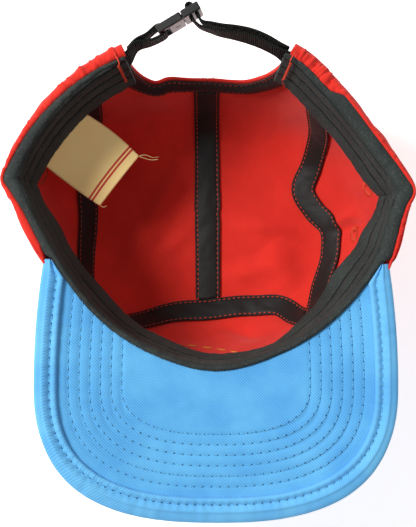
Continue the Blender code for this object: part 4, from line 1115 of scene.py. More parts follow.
def material(name):
    """A finish of the cap by name, made when it is first asked for."""
    old = bpy.data.materials.get(name)
    if old:
        return old
    colours = bpy.context.scene.cap_colours
    sizes = bpy.context.scene.cap_sizes
    threads = {
        "red thread": colours.red_thread,
        "blue thread": colours.twill,
        # Painted shade: the dark blue of the beads that stand for the shadow in the hole at each stitch end
        "needle hole": tuple(0.45 * c for c in colours.twill_shade),
        "pale thread": colours.label,
        "ochre thread": colours.ochre_thread,
    }
    if name in threads:
        return thread_material(name, threads[name])
    if name == "red canvas":
        cloths = colours.canvas, colours.canvas_shade
        return cloth_material(name, *cloths, sizes.canvas_thread, bump=0.35, contrast=0.7)
    if name == "blue twill":
        cloths = colours.twill, colours.twill_shade
        return cloth_material(
            name, *cloths, sizes.twill_line, slant=0.6, bump=0.35, vector="Object", contrast=0.9
        )
    if name == "blue binding":
        cloths = colours.binding, colours.twill_shade
        return cloth_material(name, *cloths, sizes.twill_line, slant=0.8)
    if name == "black tape":
        cloths = colours.tape, colours.tape_shade
        return cloth_material(name, *cloths, sizes.tape_thread, rough=0.6, sheen=0.05)
    if name == "black band":
        return band_material(name)
    if name == "black webbing":
        return webbing_material(name, colours.webbing, colours.rib, sizes.webbing_rib)
    if name == "label satin":
        return label_material(name)
    if name == "black plastic":
        return plastic_material(name, colours.plastic)
    raise ValueError(f"no finish is named {name}")


def dyed(nodes, mesh, thread):
    """A mesh in a tree, smooth and in its thread's material."""
    smooth = nodes.made("GeometryNodeSetShadeSmooth", mesh)
    return nodes.made("GeometryNodeSetMaterial", Geometry=smooth, Material=thread)


def stitch_tree():
    """Rows of stitches along the edges of a mesh: resampled at the pitch, one slim thread on each point."""
    group, nodes, given, out = new_group(
        "Stitch Rows",
        "GeometryNodeTree",
        [
            ("Geometry", "Geometry", None),
            ("Pitch", "Float", 0.003),
            ("Stitch Length", "Float", 0.002),
            ("Thread Radius", "Float", 0.00025),
            ("Thread", "Material", None),
        ],
        [("Geometry", "Geometry")],
    )
    curve = nodes.made("GeometryNodeMeshToCurve", given["Geometry"])
    steps = nodes.add("GeometryNodeResampleCurve", mode="LENGTH")
    nodes.fed(steps, Curve=curve, Length=given["Pitch"])
    turned = nodes.add("FunctionNodeAlignRotationToVector", axis="X")
    nodes.fed(turned, Vector=nodes.made("GeometryNodeInputTangent"))
    radius = given["Thread Radius"]
    half_length = nodes.math("MULTIPLY", given["Stitch Length"], 0.5)
    laid = nodes.made(
        "GeometryNodeInstanceOnPoints",
        Points=steps.outputs[0],
        Instance=nodes.made("GeometryNodeMeshUVSphere", Segments=6, Rings=5, Radius=1.0),
        Rotation=turned.outputs[0],
        Scale=nodes.made("ShaderNodeCombineXYZ", half_length, radius, radius),
    )
    real = nodes.made("GeometryNodeRealizeInstances", laid)
    nodes.link(dyed(nodes, real, given["Thread"]), out["Geometry"])
    return group


def grown(piece, tree, **inputs):
    """The plain mesh that a tree makes of a piece, with the tree's inputs given by name."""
    change = piece.modifiers.new(tree.name, "NODES")
    change.node_group = tree
    for socket in tree.interface.items_tree:
        key = socket.name.replace(" ", "_")
        if socket.in_out == "INPUT" and key in inputs:
            change[socket.identifier] = inputs[key]
    ready = piece.evaluated_get(bpy.context.evaluated_depsgraph_get())
    mesh = bpy.data.meshes.new_from_object(ready)
    piece.modifiers.clear()
    piece.data = mesh
    return piece


def stitches(name, rows, pitch, length, radius, thread):
    """One piece with all stitches of a named thread along lines of points in space."""
    points = np.vstack(rows)
    edges, start = [], 0
    for row in rows:
        edges += [(start + k, start + k + 1) for k in range(len(row) - 1)]
        start += len(row)
    mesh = bpy.data.meshes.new(name)
    mesh.from_pydata(points.tolist(), edges, [])
    sizes = {"Pitch": pitch, "Stitch_Length": length, "Thread_Radius": radius}
    tree = shared_group("Stitch Rows", stitch_tree)
    finished(grown(in_scene(name, mesh), tree, **sizes, Thread=material(thread)), THREAD_SLOTS[thread])


# Crown panels


def top_panel_places(side):
    rim_steps = 3
    arc = evenly_spaced(opening_edge(np.linspace(0, 1, 385), side), (CROSS_STEPS - rim_steps) * FINE)
    start = side_angle(BACK_CORNER_ANGLE, side)
    end = seam_direction(SIDE_SEAM[0], side)
    rim = panel_edge(np.linspace(start, end, rim_steps * FINE + 1))
    front = cross_seam(side)
    middle = evenly_spaced([arc[0], front[0]], SEAM_STEPS * FINE)
    return patch(np.vstack([arc, rim[1:]]), front, middle, side_seam(side))


def side_panel_places(side):
    seam, junction = side_seam(side), junction_seam(side)
    start = seam_direction(SIDE_SEAM[0], side)
    end = seam_direction(JUNCTION_SEAM[-1], side)
    rim = panel_edge(rim_directions(start, end, (SEAM_STEPS - WALL_STEPS) * FINE))
    wall = WALL_STEPS * FINE
    return patch(rim, seam[wall:], seam[: wall + 1], junction[::-1])


def front_panel_places():
    top = np.vstack([cross_seam(-1)[::-1], cross_seam(1)[1:]])
    start = seam_direction(JUNCTION_SEAM[-1], -1)
    end = seam_direction(JUNCTION_SEAM[-1], 1)
    rim = panel_edge(rim_directions(start, end, 2 * CROSS_STEPS * FINE))
    return patch(rim, top, junction_seam(-1)[::-1], junction_seam(1)[::-1])


def drawn_back(places):
    """Panel places with the three seam sides drawn back by half a seam gap."""
    places = places.copy()
    for edge, inside in ((np.s_[-1], np.s_[-2]), (np.s_[:, 0], np.s_[:, 1]), (np.s_[:, -1], np.s_[:, -2])):
        solid = np.linalg.norm(cloth(places[inside]) - cloth(places[edge]), axis=-1)[..., None]
        places[edge] = places[edge] + (places[inside] - places[edge]) * SEAM_GAP / 2 / solid
    return places


def hem_share(places):
    """1 on the turned hem along the open rim, fading to 0 below it and under the brim."""
    depth, angle = depth_of(places)
    bare = 1 - brim_seat(angle) / BRIM_SEAT
    return bare * np.clip(2 - depth / HEM_DEPTH, 0, 1)


def rim_puff(places):
    """How far the outside of the cloth stands out below the rim, gathered towards the back corners."""
    sizes = bpy.context.scene.cap_sizes
    depth, angle = depth_of(places)
    along = rim_radius(angle) * angle
    towards_back = np.clip(np.sin(angle), 0, 1) ** 0.8
    rise = np.clip(depth / 0.006, 0, 1) ** 0.5 * np.exp(-np.maximum(depth - 0.012, 0) / 0.02)
    gathers = soft_noise(along, depth * 0.35, 0.0065, 11) + 0.5 * soft_noise(along, depth, 0.004, 12)
    bare = np.clip(1 - brim_seat(angle) / BRIM_SEAT, 0, 1)
    swell = sizes.rim_puff * towards_back + 0.3 * sizes.rim_puff
    return bare * rise * (swell + sizes.gathers * (0.4 + 0.6 * towards_back) * gathers)


def outer_face(places, proud=0.0):
    """The crown's outer face at pattern places, with its wrinkles and gathers, or that far outside it."""
    points = cloth(places)
    thick = CLOTH + (HEM - CLOTH) * hem_share(places) + rim_puff(places) + proud
    return points + inward(cloth, places) * (wrinkles(places, points) - thick)[..., None]


def build_panel(name, places, node):
    """One canvas panel between the crown's inner and outer face."""
    points = cloth(places)
    uneven = np.where(depth_of(places)[0] < GAP, 0, wrinkles(places, points))
    inner = points + inward(cloth, places) * uneven[..., None]
    made = shell(name, inner, outer_face(places), material("red canvas"), bulge=0.5)
    flat_size(inner)
    finished(made, "red_cotton", node)


def flat_size(points):
    """Width and length of the flat piece that a grid of points was cut from."""
    width = max(lengths_along(row)[-1] for row in points)
    length = max(lengths_along(column)[-1] for column in points.swapaxes(0, 1))
    return float(width), float(length)


def build_panels():
    for side, word in ((-1, "left"), (1, "right")):
        build_panel(f"top_canvas_{word}", drawn_back(top_panel_places(side)), f"top_panel_{word}")
        build_panel(f"side_canvas_{word}", drawn_back(side_panel_places(side)), f"side_panel_{word}")
    build_panel("front_canvas", drawn_back(front_panel_places()), "front_panel")


def build_topstitching():
    """Rows of stitches outside the crown, on both sides of each seam."""
    sizes = bpy.context.scene.cap_sizes
    seams = [smooth_line(seam_points(SIDE_SEAM + JUNCTION_SEAM[1:], side), 30) for side in (-1, 1)]
    seams.append(whole_cross_seam(40))
    cross = seams[-1][len(seams[-1]) // 2]
    seams.append(np.linspace(opening_edge(np.zeros(1), 1)[0], cross, 200))
    rows = []
    for seam in seams:
        fine = evenly_spaced(seam, 400)
        aside = unit(np.cross(inward(cloth, fine), unit(np.gradient(cloth(fine), axis=0))))
        for step in (-TOP_ROW_ASIDE, TOP_ROW_ASIDE):
            places = stepped_aside(fine, aside, step)
            depth, angle = depth_of(places)
            places = places[depth > brim_seat(angle) + 0.004]
            rows.append(outer_face(places, sizes.thread * 0.3))
    stitches("top_stitches", rows, sizes.tape_pitch, TOP_STITCH, sizes.thread, "red thread")


# Seam tapes


def distance_from(points, line, chunk=4000):
    """Distances of points from a polyline, worked out a chunk at a time."""
    starts, spans = line[:-1], np.diff(line, axis=0)
    flat = points.reshape(-1, points.shape[-1])
    away = []
    for first in range(0, len(flat), chunk):
        offset = flat[first : first + chunk, None] - starts[None]
        share = np.clip((offset * spans).sum(-1) / (spans * spans).sum(-1), 0, 1)
        away.append(np.linalg.norm(offset - spans * share[..., None], axis=-1).min(axis=1))
    return np.concatenate(away).reshape(points.shape[:-1])


def evenly_on_cloth(seam, count):
    fine = evenly_spaced(seam, 4 * count)
    along = lengths_along(cloth(fine))
    return sampled(fine, along, np.linspace(0, along[-1], count + 1))


def trimmed(seam, start, end):
    fine = evenly_spaced(seam, 600)
    along = lengths_along(cloth(fine))
    return fine[(along >= start) & (along <= along[-1] - end)]


def below_rim(places):
    angle = np.arctan2(places[..., 1], places[..., 0])
    limit = np.linalg.norm(on_wall(angle, RIM_TURN + brim_seat(angle)), axis=-1)
    return places * np.minimum(1, limit / np.linalg.norm(places, axis=-1))[..., None]


def tape_places(seam, width, count, shares, crossed=()):
    """Pattern places of a tape: a line for each share of its width, cut off beside the tapes it crosses."""
    fine = evenly_on_cloth(seam, 2 * count)
    solid = cloth(fine)
    run = unit(np.gradient(solid, axis=0))
    aside = unit(np.cross(inward(cloth, fine), run))
    lines = []
    for share in shares:
        edge = below_rim(stepped_aside(fine, aside, width * share))
        kept = np.ones(len(edge), dtype=bool)
        for other, other_width in crossed:
            kept &= distance_from(cloth(edge), other) > other_width / 2 + 2 * GAP
        lines.append(evenly_spaced(edge[kept], count))
    return np.stack(lines, axis=1)


def build_tape(name, seam, node, crossed=(), width=TAPE_WIDTH):
    """A tape over a seam, raised along its middle and drawn down along its two rows of stitches."""
    sizes = bpy.context.scene.cap_sizes
    count = int(lengths_along(cloth(np.asarray(seam)))[-1] / 0.0012)
    places = tape_places(seam, width, count, TAPE_SHARES, crossed)
    share = TAPE_SHARES[None, :]
    points = cloth(places)
    along = lengths_along(points[:, TAPE_MIDDLE])[:, None]
    raised = sizes.tape_crown * np.cos(math.pi * share) ** 2
    sewn = np.exp(-(((np.abs(share) - TAPE_ROW_SHARE) / 0.03) ** 2))
    drawn = sewn * (0.00045 + 0.00012 * np.cos(2 * math.pi * along / sizes.tape_pitch))
    crumple = 0.00035 * soft_noise(along + share * 0.004, share * 0.03 + along * 0.1, 0.0075, 21)
    crumple += 0.0002 * soft_noise(along + share * 0.01, share * 0.02, 0.003, 22)
    into = inward(cloth, places)
    lift = TAPE_STANDOFF + wrinkles(places, points) * 0.8 + crumple * np.cos(math.pi * share * 0.9)
    low = points + into * lift[..., None]
    high = points + into * (lift + TAPE + raised - drawn)[..., None]
    made = shell(name, high, low, material("black tape"))
    flat_size(high)
    finished(made, "black_cotton", node)
    thread_lift = into * (lift + TAPE + raised - drawn + sizes.thread * 0.4)[..., None]
    sewn_points = points + thread_lift
    return [sewn_points[:, column] for column in TAPE_ROWS]


def opening_tape_middle():
    """The middle line of the tape along the back opening, from strap to strap."""
    shares = np.linspace(-0.992, 0.992, 321)
    fine = np.array([opening_edge(abs(s), 1 if s > 0 else -1) for s in shares])
    kept = fine[cloth(fine)[:, 2] < CROWN_HEIGHT - (STRAP_DROP + WEBBING_WIDTH + 2 * GAP)]
    run = unit(np.gradient(cloth(kept), axis=0))
    aside = unit(np.cross(run, inward(cloth, kept)))
    return stepped_aside(kept, aside, OPENING_TAPE_WIDTH / 2 + GAP)


def build_tapes():
    """The five seam tapes, and all their stitches as one piece."""
    sizes = bpy.context.scene.cap_sizes
    rows, side_lines = [], []
    for side, word in ((-1, "left"), (1, "right")):
        whole = smooth_line(seam_points(SIDE_SEAM + JUNCTION_SEAM[1:], side), 30)
        seam = trimmed(whole, RIM_TURN, RIM_TURN)
        rows += build_tape(f"side_tape_{word}", seam, f"side_seam_tape_{word}")
        side_lines.append((cloth(seam), TAPE_WIDTH))
    cross = whole_cross_seam(40)
    rows += build_tape("cross_tape", cross, "cross_seam_tape", side_lines)
    opening = opening_tape_middle()
    rows += build_tape("back_arc_tape", opening, "opening_tape", width=OPENING_TAPE_WIDTH)
    middle = np.stack([opening[len(opening) // 2], cross[len(cross) // 2]])
    crossed = [(cloth(cross), TAPE_WIDTH), (cloth(opening), OPENING_TAPE_WIDTH)]
    rows += build_tape("middle_tape", middle, "middle_seam_tape", crossed)
    stitches("tape_stitches", rows, sizes.tape_pitch, TAPE_STITCH, sizes.thread, "red thread")


# Sweatband


def band_grooves():
    """Shares of the band's width at which its quilting is sewn down."""
    count = bpy.context.scene.cap_sizes.band_ridges
    return [BAND_FIRST_GROOVE + BAND_GROOVE_STEP * number for number in range(count)]


def band_stray(share, along, degrees):
    """How far the quilting strays down the band, most where the rim folds at the sides."""
    folded = np.exp(-(((degrees + 186) / 9) ** 2)) + np.exp(-(((degrees - 2) / 9) ** 2))
    return (0.006 + 0.05 * folded) * soft_noise(along, share, 0.012, 31)


def band_ridges(share, along, degrees):
    """Height of the band's quilting, narrow grooves with full cloth between them."""
    height = np.ones_like(share + along)
    for groove in band_grooves():
        away = np.abs(share + band_stray(share, along, degrees) - groove)
        height -= np.exp(-away / BAND_GROOVE_WIDTH)
    ends = np.clip((degrees + 240) / 6, 0.1, 1) * np.clip((60 - degrees) / 6, 0.1, 1)
    return bpy.context.scene.cap_sizes.band_ridge * height * ends


def band_roll(angle):
    """Cross-section of the fold on the band's top edge, from outside over the top: how far inside the crown's
    face, and how high over the rim."""
    covered = np.clip(1 - brim_seat(angle) / BRIM_SEAT, 0, 1)
    over_hem = np.minimum(hem_width(angle) - HEM, BAND_STANDOFF)
    outer = over_hem * covered + (BAND_STANDOFF - 0.0008) * (1 - covered)
    inner = BAND_STANDOFF + BAND
    turn = np.linspace(0.06, 0.94, BAND_ROLL_LINES)[None, :] * math.pi
    away = outer + (inner - outer) * (1 - np.cos(turn)) / 2
    return away, BAND_ROLL * np.sin(turn)


def build_sweatband():
    """The folded cotton band: rolled over the hem at its top, quilted along, crumpled where the rim folds."""
    radius = rim_radius(BACK_CORNER_ANGLE)
    start = side_angle(BACK_CORNER_ANGLE, -1) - BAND_LEFT_TAB / radius
    end = side_angle(BACK_CORNER_ANGLE, 1) + BAND_RIGHT_TAB / radius
    angle = rim_directions(start, end, 660)[:, None]
    share = np.linspace(0, 1, 60)[None, :]
    depth = BAND_WIDTH * share + 0 * angle
    degrees = in_degrees(angle, -250)
    along = rim_radius(angle) * angle
    wide = angle + 0 * share
    places = on_wall(wide, depth)
    lean = band_lean(wide) * share**1.5
    crumple = 0.00018 * soft_noise(along, depth, 0.006, 32) + 0.00012 * soft_noise(along, depth, 0.0025, 33)
    outer = off_cloth(places, BAND_STANDOFF + lean)
    into = inward(cloth, places)
    rise = np.clip(share / 0.04, 0, 1) ** 0.5
    inner = outer + into * (BAND + rise * band_ridges(share, along, degrees) + crumple * rise)[..., None]
    away, lift = band_roll(angle)
    rim = on_wall(angle + 0 * away, 0 * away)
    level = unit(inward(cloth, rim) * [1, 1, 0])
    base = cloth(rim)
    wave = 0.0003 * soft_noise(along + 0 * away, away, 0.004, 34)
    high = base + level * (away + wave)[..., None]
    high[..., 2] = base[..., 2] + lift + 0.0004 + wave
    low = base + level * (away + 0.0002)[..., None]
    low[..., 2] = base[..., 2] + lift * 0.2 + 0.0001
    down = np.maximum(share[:, 1:] + band_stray(share[:, 1:], along, degrees), 0.001) * BAND_WIDTH
    over_rim = -0.0012 * np.arange(BAND_ROLL_LINES)[None, ::-1] + 0 * along
    sewn_at = np.concatenate([over_rim, down], axis=1)
    made = shell(
        "band",
        np.concatenate([high, inner[:, 1:]], axis=1),
        np.concatenate([low, outer[:, 1:]], axis=1),
        material("black band"),
        uv=np.stack([sewn_at, along + 0 * sewn_at], axis=-1),
        bulge=0.3,
    )
    flat_size(inner)
    finished(made, "black_cotton", "sweatband")


def hem_section(angle):
    """Cross-section of the turned hem from outside over the top to the band's fold: how far in, and up."""
    width = hem_width(angle)
    outer = -HEM + 0 * width
    inner = outer + width + 0.0004
    shares = np.array([0.0, 0.0, 0.04, 0.16, 0.34, 0.55, 0.76, 0.92, 1.0, 0.98])
    lifts = np.array([-0.0040, -0.0020, -0.0004, 0.0006, 0.0012, 0.0014, 0.0012, 0.0006, -0.0002, -0.0010])
    return outer + (inner - outer) * shares[None, :], lifts[None, :] + 0 * angle


def build_hem(name, start, end):
    """The crown's turned hem, puffed and gathered outside the band's fold."""
    steps = 420
    angle = rim_directions(start, end, steps)[:, None]
    away, lift = hem_section(angle)
    wide = angle + 0 * away
    along = rim_radius(wide) * wide
    gathered = np.clip(hem_width(wide) / 0.004, 0.35, 1.3)
    gathers = 0.0007 * soft_noise(along, away * 0.6, 0.0042, 61)
    gathers += 0.0005 * soft_noise(along, away, 0.0018, 62)
    number = np.arange(steps + 1)
    ends = np.clip(np.minimum(number, steps - number) / 12, 0, 1)[:, None]
    rim = on_wall(wide, 0 * wide)
    base = cloth(rim)
    level = unit(inward(cloth, rim) * [1, 1, 0])
    outside = np.clip(-away / HEM, 0, 1)
    top = base + level * (away - gathered * (gathers + 0.0004) * outside)[..., None]
    top[..., 2] = base[..., 2] + lift + gathered * gathers * ends + 0.0004 * np.clip(gathered - 1, 0, 1)
    middle = base + level * ((away + (-HEM + hem_width(wide)) / 2 - HEM / 2) / 2)[..., None]
    under = top + unit(middle - [0, 0, 0.002] - top) * 0.0007
    made = shell(name, top, under, material("red canvas"), bulge=0.4)
    flat_size(top)
    finished(made, "red_cotton")


def build_hems():
    left = side_angle(BACK_CORNER_ANGLE, -1), wrapped(math.radians(-160.5))
    right = wrapped(math.radians(-19.5)), side_angle(BACK_CORNER_ANGLE, 1)
    for word, (start, end) in (("left", left), ("right", right)):
        build_hem(f"hem_{word}", start, end)


# Brim


def stitch_row_insets():
    """How far inside the board's edge the brim's rows of stitches lie."""
    sizes = bpy.context.scene.cap_sizes
    return BINDING_LEG + sizes.brim_row_gap * (1 + np.arange(sizes.brim_rows))


def brim_relief(plan, edge_distance):
    """Height of the brim's cloth over its board: drawn down along each row of stitches, full between them."""
    low = np.zeros(plan.shape[:-1])
    for inset in stitch_row_insets():
        low -= 0.0004 * np.exp(-(((edge_distance - inset) / 0.0010) ** 2))
    low += 0.00012 * soft_noise(plan[..., 0], plan[..., 1], 0.006, 41)
    return low + 0.0003 * soft_noise(plan[..., 0], plan[..., 1], 0.03, 42)


def build_brim():
    """The brim's cloth over its board, with its rows of stitches and, between them, dark beads as painted
    shade in the hole at each stitch end.
    """
    sizes = bpy.context.scene.cap_sizes
    across, out = 330, 104
    outline = board_outline(1600)
    directions = rim_directions(direction_of(outline[0]), direction_of(outline[-1]), across)
    inner_gap = BAND_STANDOFF - 3 * GAP
    seat = off_cloth(on_wall(directions, 0 * directions), 0 * directions + inner_gap)[:, :2]
    outer = evenly_spaced(outline, across)
    share = np.linspace(0, 1, out + 1)[None, :, None]
    plan = seat[:, None] * (1 - share) + outer[:, None] * share
    top = brim_top(plan[..., 0]) + brim_relief(plan, distance_from(plan, outline[::4]))
    upper = np.concatenate([plan, top[..., None]], axis=-1)
    lower = np.concatenate([plan, (brim_top(plan[..., 0]) - BOARD)[..., None]], axis=-1)
    made = shell("brim_cover", upper, lower, material("blue twill"), uv=plan, bulge=0.0)
    finished(made, "blue_twill", "brim")
    rows = []
    for inset in stitch_row_insets():
        line = evenly_spaced(brim_outline(BOARD / 2 + GAP + BINDING + inset), 900)
        line = line[past_crown(line) > -inner_gap]
        relief = brim_relief(line, distance_from(line, outline[::4]))
        height = brim_top(line[:, 0]) + relief + sizes.thread * 0.5
        rows.append(np.column_stack([line, height]))
    pitch = sizes.brim_pitch
    stitches("brim_stitches", rows, pitch, BRIM_STITCH, sizes.thread * 0.9, "blue thread")
    # Painted shade: dark beads between the stitches stand for the shadow in the hole at each stitch end
    hole_shades = [row[:-1] * 0.5 + row[1:] * 0.5 - [0, 0, sizes.thread * 0.4] for row in rows]
    shifted = [evenly_spaced(row, len(row))[needle_step(row, pitch) :] for row in hole_shades]
    stitches("needle_holes", shifted, pitch, *BRIM_HOLE_SHADE, "needle hole")


def needle_step(row, pitch):
    """How many points of a row make half a stitch."""
    return max(1, int(round(pitch / 2 / (lengths_along(row)[-1] / len(row)))))


def binding_profile():
    """Cross-section of the binding's outer face from its upper inner edge round to the lower one."""
    half = BOARD / 2 + GAP + BINDING
    lip, groove = 0.0030, 0.0041
    upper = [
        (-BINDING_LEG, half - 0.0007),
        (-BINDING_LEG + 0.0003, half + 0.0003),
        (-BINDING_LEG + lip * 0.5, half + 0.0007),
        (-BINDING_LEG + lip, half - 0.0001),
        (-BINDING_LEG + groove * 0.9, half - 0.0006),
        (-BINDING_LEG + groove + 0.0010, half + 0.0004),
        (-BINDING_LEG + groove + 0.0030, half + 0.0010),
        (-0.0004, half + 0.0004),
    ]
    round_edge = [(half * math.sin(t), half * math.cos(t)) for t in np.linspace(0.35, math.pi - 0.35, 9)]
    lower = [(out, -up) for out, up in upper[::-1]]
    return smooth_line(upper + round_edge + lower, 3)


def build_binding():
    """The folded tape round the brim's edge: a full roll outside, a row of stitches and a flat lip inside."""
    sizes = bpy.context.scene.cap_sizes
    outline = evenly_spaced(brim_outline(BOARD / 2 + GAP + BINDING)[::-1], 1600)
    edge = evenly_spaced(outline[past_crown(outline) > -0.0008], 460)
    run = unit(np.gradient(edge, axis=0))
    out = np.stack([run[:, 1], -run[:, 0]], axis=1)
    out *= np.sign((out * (edge - [0, CROWN_MIDDLE_Y])).sum(1))[:, None]
    legs = {}
    for leg_side, limit in ((1, 3 * GAP - BAND_STANDOFF), (-1, CLOTH + 3 * GAP)):
        leg = np.full(len(edge), BINDING_LEG)
        for _ in range(80):
            leg -= 0.0001 * (past_crown(edge - out * leg[:, None]) < limit)
        legs[leg_side] = np.maximum(leg, 0.0006)
    profile = binding_profile()
    share = np.where(profile[None, :, 1] > 0, legs[1][:, None], legs[-1][:, None]) / BINDING_LEG
    front = np.clip((-edge[:, 1] - 0.085) / 0.035, 0, 1)[:, None]
    full = 1 + 0.55 * front * front * (3 - 2 * front)
    reach = np.where(profile[None, :, 0] < 0, profile[None, :, 0] * share, profile[None, :, 0] * full)
    plan = edge[:, None] + out[:, None] * reach[..., None]
    along = lengths_along(edge)[:, None]
    from_stitch = (profile[None, :, 0] + BINDING_LEG - BINDING_ROW) / 0.0022
    pucker = 0.00022 * np.cos(2 * math.pi * along / sizes.brim_pitch) * np.exp(-(from_stitch**2))
    pucker = pucker + 0.00022 * soft_noise(along, profile[None, :, 0] * 0.4 + 0 * along, 0.0035, 51)
    height = profile[None, :, 1] + pucker * np.sign(profile[None, :, 1])
    middle = brim_top(plan[..., 0]) - BOARD / 2
    outer = np.concatenate([plan, (middle + height)[..., None]], axis=-1)
    half = BOARD / 2 + GAP / 2
    shrunk = np.minimum(reach, 0) + np.maximum(reach, 0) * half / (BOARD / 2 + GAP + BINDING)
    inner_plan = edge[:, None] + out[:, None] * shrunk[..., None]
    inner_up = np.clip(profile[None, :, 1], -half, half) + 0 * along
    inner_up = inner_up + (brim_top(inner_plan[..., 0]) - BOARD / 2)
    inner = np.concatenate([inner_plan, inner_up[..., None]], axis=-1)
    made = shell("binding_tape", outer, inner, material("blue binding"), bulge=0.4)
    finished(made, "blue_twill", "brim_binding")
    sewn = profile[:, 0] + BINDING_LEG - BINDING_ROW
    column = int(np.argmin(np.where(profile[:, 1] > 0, np.abs(sewn), 1)))
    row = outer[:, column] + [0, 0, sizes.thread * 0.3]
    kept = row[legs[1] > BINDING_LEG * 0.9]
    pitch = sizes.brim_pitch
    stitches("binding_stitches", [kept], pitch, BINDING_STITCH, sizes.thread, "blue thread")
    # Painted shade: dark beads between the stitches stand for the shadow in the hole at each stitch end
    hole_shades = kept[needle_step(row, pitch) :] - [0, 0, sizes.thread * 0.8]
    stitches("binding_needle_holes", [hole_shades], pitch, *BINDING_HOLE_SHADE, "needle hole")


# Strap and buckle


def buckle_point(along, out, up):
    """A point in the buckle's own frame: along its length, out from the cap, and up, from its middle."""
    level = np.array([math.cos(BUCKLE_TURN), math.sin(BUCKLE_TURN), 0.0])
    run = level * math.cos(BUCKLE_TILT) + [0, 0, math.sin(BUCKLE_TILT)]
    side = np.array([-level[1], level[0], 0.0])
    middle = np.array([BUCKLE_X, BUCKLE_Y, CROWN_HEIGHT - STRAP_DROP - WEBBING_WIDTH / 2])
    return middle + run * along + side * out + np.cross(run, side) * up


SOCKET_BAR = BUCKLE_LENGTH / 2 - BUCKLE_BAR / 2
PLUG_BAR_AT = BUCKLE_LENGTH / 2 - PLUG_END - PLUG_SLOT - PLUG_BAR / 2
UPRIGHT = np.array([0.0, 0.0, WEBBING_WIDTH / 2])


def edges_at(along, out):
    """Top and bottom edge points of webbing that lies in the buckle's frame."""
    return np.array([buckle_point(along, out, up) for up in (WEBBING_WIDTH / 2, -WEBBING_WIDTH / 2)])


def in_pocket(side, past, distance):
    """Edge points that far past the back corner towards the opening, and that far inside the panels."""
    corner = side_angle(BACK_CORNER_ANGLE, side)
    angle = np.full(2, corner + side * past / rim_radius(corner))
    depths = np.array([STRAP_DROP, STRAP_DROP + WEBBING_WIDTH])
    return off_cloth(on_wall(angle, depths), np.full(2, distance))


def left_runs(start, end):
    """The left webbing round the socket's bar, with both strands bowed."""
    turn = BUCKLE_BAR * 0.75 + GAP + WEBBING / 2
    apart = WEBBING / 2 + 2 * GAP
    bar = buckle_point(-SOCKET_BAR, 0, 0)
    along_bar = buckle_point(-SOCKET_BAR, 0, WEBBING_WIDTH / 2) - bar
    leaving = unit((start.mean(axis=0) - bar) * [1, 1, 0])
    outwards = np.array([leaving[1], -leaving[0], 0.0])

    def at_bar(along, out, half=along_bar):
        place = bar + leaving * along + outwards * out
        return np.array([place + half, place - half])

    runs = {}
    strands = (-1, start, 0.0, STRAP_LEFT_INNER_BOW), (1, end, STRAP_LEFT_OPENS, STRAP_LEFT_OUTER_BOW)
    for out, first, opens, bow in strands:
        closing = at_bar(STRAP_CLOSES, out * apart + opens, UPRIGHT)
        runs[out] = [(first + closing) / 2 + outwards * bow, closing]
    wrap = [at_bar(-turn * math.cos(s), turn * math.sin(s)) for s in np.radians([-75, -25, 25, 75])]
    return runs[-1] + wrap + runs[1][::-1]


def right_runs(start):
    """The right webbing: in a hanging curve to the plug, through its slots round the middle bar, and back."""
    bar, corner = buckle_point(PLUG_BAR_AT, 0, 0), start.mean(axis=0)
    way = corner - bar
    outwards = unit(np.array([-way[1], way[0], 0.0]))
    runs = {}
    for out in (-1, 1):
        runs[out] = []
        for row in STRAP_HANGS:
            apart = WEBBING / 2 + 2 * GAP + STRAP_OPENS * math.sin(math.pi * row.share)
            place = bar + way * row.share + outwards * (row.offset * STRAP_SLACK + out * apart)
            tilt = row.tilt * STRAP_TILT
            half = outwards * math.sin(tilt) * WEBBING_WIDTH / 2 + UPRIGHT * math.cos(tilt)
            runs[out].append(np.array([place + half, place - half]))
    reach = (PLUG_BAR + PLUG_SLOT) / 2
    mouth = BUCKLE_THICKNESS / 2 + GAP
    wrap = [edges_at(PLUG_BAR_AT - reach, -mouth)]
    for swing in np.radians([0, 45, 90, 135, 180]):
        wrap.append(edges_at(PLUG_BAR_AT - reach * math.cos(swing), STRAP_KNOB + reach * math.sin(swing)))
    wrap.append(edges_at(PLUG_BAR_AT + reach, -mouth))
    return runs[-1][::-1] + wrap + runs[1]


def webbing_loop(side):
    """Top and bottom edge points of one side's doubled webbing, from the pocket round the bar and back."""
    inside = TAPE_STANDOFF + TAPE / 2
    inner = [in_pocket(side, -WEBBING_POCKET * share, inside) for share in (1, 0.5, 0)]
    outer_end = in_pocket(side, 2 * WEBBING, inside - 2 * (WEBBING / 2 + 2 * GAP))
    between = right_runs(inner[-1]) if side > 0 else left_runs(inner[-1], outer_end)
    return np.array([*inner, *between, outer_end])


def build_webbing():
    """The strap's two doubled pieces, with ribs across the tape and a cord along each of its edges."""
    sizes = bpy.context.scene.cap_sizes
    for side, word in ((-1, "left"), (1, "right")):
        stations = webbing_loop(side)
        tops, bottoms = smooth_line(stations[:, 0], 24), smooth_line(stations[:, 1], 24)
        count = int(lengths_along(tops)[-1] / 0.00028)
        tops, bottoms = evenly_spaced(tops, count), evenly_spaced(bottoms, count)
        share = (0.5 - 0.5 * np.cos(np.linspace(0, math.pi, 23)))[None, :, None]
        middle = tops[:, None] * (1 - share) + bottoms[:, None] * share
        along = lengths_along(tops)[:, None, None]
        near_edge = np.minimum(share, 1 - share) * WEBBING_WIDTH
        cord = np.exp(-(((near_edge - 0.0006) / 0.0005) ** 2))
        rib = np.cos(2 * math.pi * along / sizes.webbing_rib) * np.clip(near_edge / 0.0004, 0, 1)
        thick = WEBBING * (0.40 + 0.13 * cord) + 0.00007 * rib
        normal = normals_of(middle)
        uv = np.stack([(share * WEBBING_WIDTH + 0 * along)[..., 0], (along + 0 * share)[..., 0]], axis=-1)
        faces = middle + normal * thick, middle - normal * thick
        made = shell(f"webbing_strap_{word}", *faces, material("black webbing"), uv=uv)
        finished(made, "black_webbing", f"webbing_{word}")


def build_buckle():
    """The moulded buckle keeps its solids and gets its plastic."""
    for name in ("buckle_socket", "buckle_plug"):
        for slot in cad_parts[name].material_slots:
            slot.material = material("black plastic")


# Eyelets, label and loose threads


